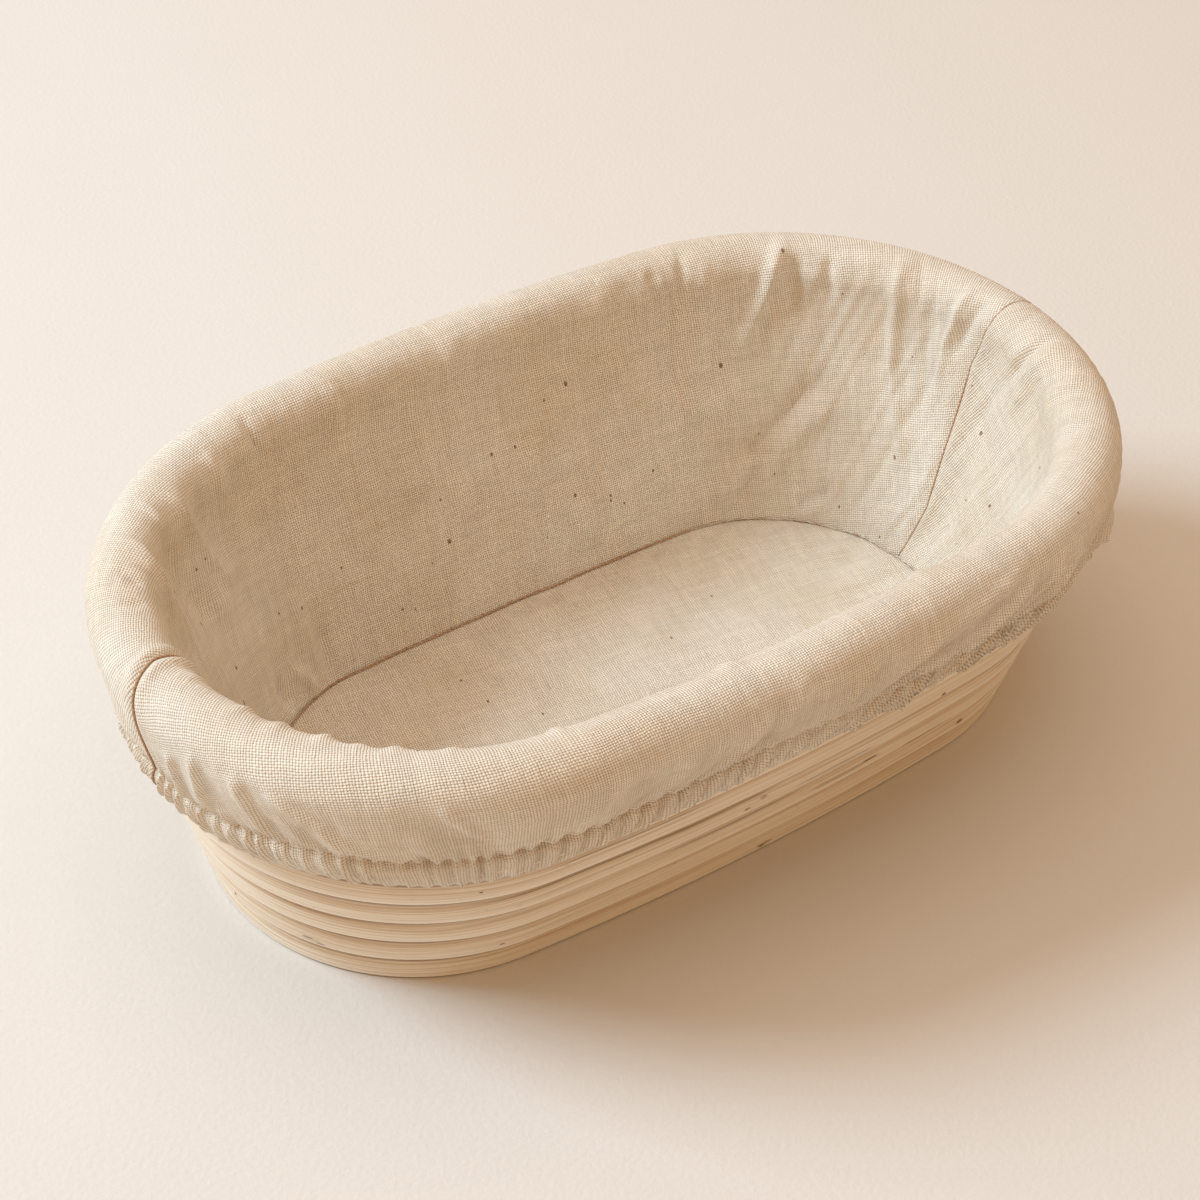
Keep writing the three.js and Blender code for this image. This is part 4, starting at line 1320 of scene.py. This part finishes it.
class BASKET_OT_elastic(bpy.types.Operator):
    """Runs the elastic through the hem's casing"""

    bl_idname = "basket.elastic"
    bl_label = "Hem elastic"

    def execute(self, context):
        _, liner = sizes()
        low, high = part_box("hem_elastic")
        band = rounded_section(0.0008, high.z - low.z, 0.0002, 0.0002, 0.0)
        oval = wall_at((low.z + high.z) / 2)
        steps, round_it = oval.even_steps(0, LOOP, FLOOR_POINTS)
        run = np.linspace(0, round_it, FLOOR_POINTS)[:-1]
        offset = (liner.inner_layer + liner.outer_layer) / 2 + 0.0004
        route = oval.at(steps[:-1], offset + 0.0001 * np.sin(run / 0.0011), low.z)
        route[:, 2] += hem_lift(run)
        elastic = swept("liner_elastic", route, band, closed=True)
        finish_piece(elastic, elastic_finish("elastic"), "liner", "elastic", "hem_elastic")
        return {"FINISHED"}


class BASKET_OT_stitching(bpy.types.Operator):
    """Sews the floor seam, the two end seams and the gathering stitch"""

    bl_idname = "basket.stitching"
    bl_label = "Seams and stitches"

    def execute(self, context):
        _, liner = sizes()
        finishes = context.scene.finishes
        brown, pale = finishes.thread, thread_finish("pale_thread", finishes.pale_thread)
        near, far = SEAMS["liner_near_side"], SEAMS["liner_far_side"]
        turn = np.radians(np.arange(0, 360, 45))
        ring = np.stack([np.cos(turn), np.sin(turn)], -1)
        floor = floor_oval()
        steps, round_it = floor.even_steps(0, LOOP, 901)
        run = np.linspace(0, round_it, 901)[:-1]
        weave = 0.00012 * np.sin(2 * math.pi * run / 0.0028)
        drift = 0.0002 * wander(run, round_it, 30, 21)
        route = floor.at(steps[:-1], 0.0001 + drift, liner.seam_height + 0.0004 + weave)
        seam = swept("floor_seam", route, ring * 0.00021, closed=True)
        sunk = ((0.0, 0.072, 0.85), (round_it, 0.03, 0.85))
        thread = thread_finish("floor_seam_thread", brown, sunk)
        finish_piece(seam, thread, "liner", "thread", "floor_seam_thread")
        stop = STITCH_ROW + CASING_ROWS
        sunk = ((0.01, 0.010, 0.5), (0.083, 0.034, 0.8))
        for name, node, first, second, deep, places in (
            ("right_seam", "right_end_seam_thread", near[:stop, -1], far[:stop, 0], 0.0, sunk),
            ("left_seam", "left_end_seam_thread", near[:stop, 0], far[:stop, -1], 0.0003, ()),
        ):
            route = (first + second) / 2
            way = np.gradient(route, axis=0) * (1 if node.startswith("right") else -1)
            out = np.stack([-way[:, 2], np.zeros(len(way)), way[:, 0]], -1)
            route = route + out / np.linalg.norm(out, axis=1, keepdims=True) * deep
            dense = np.linspace(0, len(route) - 1, 400)
            index = np.arange(len(route))
            route = np.stack([np.interp(dense, index, route[:, n]) for n in range(3)], -1)
            seam = swept(name, route[4:], ring * 0.00026)
            thread = thread_finish(name + "_thread", brown, places)
            finish_piece(seam, thread, "liner", "thread", node)
        route = np.concatenate([far[STITCH_ROW, :-1], near[STITCH_ROW, :-1]])
        stitch = swept("gathering_stitch", route, ring * 0.00012, closed=True)
        finish_piece(stitch, pale, "liner", "thread", "hem_thread")
        return {"FINISHED"}


class BASKET_OT_stage(bpy.types.Operator):
    """Sets the floor, the window lamp, the room's light and the camera"""

    bl_idname = "basket.stage"
    bl_label = "Stage"

    def execute(self, context):
        scene, studio = context.scene, context.scene.studio
        scene.view_settings.view_transform = "Standard"
        deselect()
        bpy.ops.mesh.primitive_grid_add(
            x_subdivisions=8, y_subdivisions=8, size=6, location=(0, 0, -0.0002)
        )
        floor = context.object
        floor.name = "stage_floor"
        floor.data.materials.append(floor_finish("floor"))
        target = Vector(studio.target)
        az, el = studio.azimuth, studio.elevation
        back = Vector(
            (math.sin(az) * math.cos(el), -math.cos(az) * math.cos(el), math.sin(el))
        )
        turn = (-back).to_track_quat("-Z", "Y").to_euler()
        bpy.ops.object.camera_add(location=target + back * studio.distance, rotation=turn)
        camera = context.object
        camera.data.lens = studio.lens
        camera.data.sensor_width = 36
        camera.data.clip_start = 0.01
        scene.camera = camera
        self.lamp("window", (-1.207, 0.943, 1.325), 0.85, studio.key_power, studio.key_colour)
        self.lamp("overhead", (0, 0, 1.3), 1.2, studio.top_power, studio.top_colour)
        world = bpy.data.worlds.new("room")
        world.use_nodes = True
        background = world.node_tree.nodes["Background"]
        background.inputs["Color"].default_value = (*studio.sky_colour, 1)
        background.inputs["Strength"].default_value = studio.sky
        scene.world = world
        return {"FINISHED"}

    @staticmethod
    def lamp(name, place, size, power, tint):
        aim = (Vector((0, 0, 0.04)) - Vector(place)).to_track_quat("-Z", "Y").to_euler()
        bpy.ops.object.light_add(type="AREA", location=place, rotation=aim)
        lamp = bpy.context.object
        lamp.name = name
        lamp.data.shape = "DISK"
        lamp.data.size = size
        lamp.data.energy = power
        lamp.data.color = tint


PIECES = (
    BASKET_OT_wall,
    BASKET_OT_base,
    BASKET_OT_fasteners,
    BASKET_OT_side_panels,
    BASKET_OT_floor_panel,
    BASKET_OT_elastic,
    BASKET_OT_stitching,
    BASKET_OT_stage,
)


class BASKET_PT_panel(bpy.types.Panel):
    """Lists the basket's sizes and the steps that build it"""

    bl_idname = "BASKET_PT_panel"
    bl_label = "Proofing basket"
    bl_space_type = "VIEW_3D"
    bl_region_type = "UI"
    bl_category = "Basket"

    def draw(self, context):
        for step in PIECES:
            self.layout.operator(step.bl_idname)
        for group in ("basket_sizes", "liner_sizes", "finishes", "studio"):
            values = getattr(context.scene, group)
            box = self.layout.box()
            for name in values.bl_rna.properties.keys():
                if name not in ("rna_type", "name"):
                    box.prop(values, name, text=name.replace("_", " ").capitalize())


GROUPS = {
    "basket_sizes": BasketSizes,
    "liner_sizes": LinerSizes,
    "finishes": Finishes,
    "studio": StudioSettings,
}


def register():
    for kind in (*GROUPS.values(), *PIECES, BASKET_PT_panel):
        bpy.utils.register_class(kind)
    for name, kind in GROUPS.items():
        setattr(bpy.types.Scene, name, bpy.props.PointerProperty(type=kind))


def unregister():
    for name in GROUPS:
        delattr(bpy.types.Scene, name)
    for kind in (BASKET_PT_panel, *reversed(PIECES), *reversed(GROUPS.values())):
        bpy.utils.unregister_class(kind)


def main():
    register()
    bpy.ops.basket.wall()
    bpy.ops.basket.base()
    bpy.ops.basket.fasteners()
    bpy.ops.basket.side_panels()
    bpy.ops.basket.floor_panel()
    bpy.ops.basket.elastic()
    bpy.ops.basket.stitching()
    bpy.ops.basket.stage()


if __name__ == "__main__":
    main()
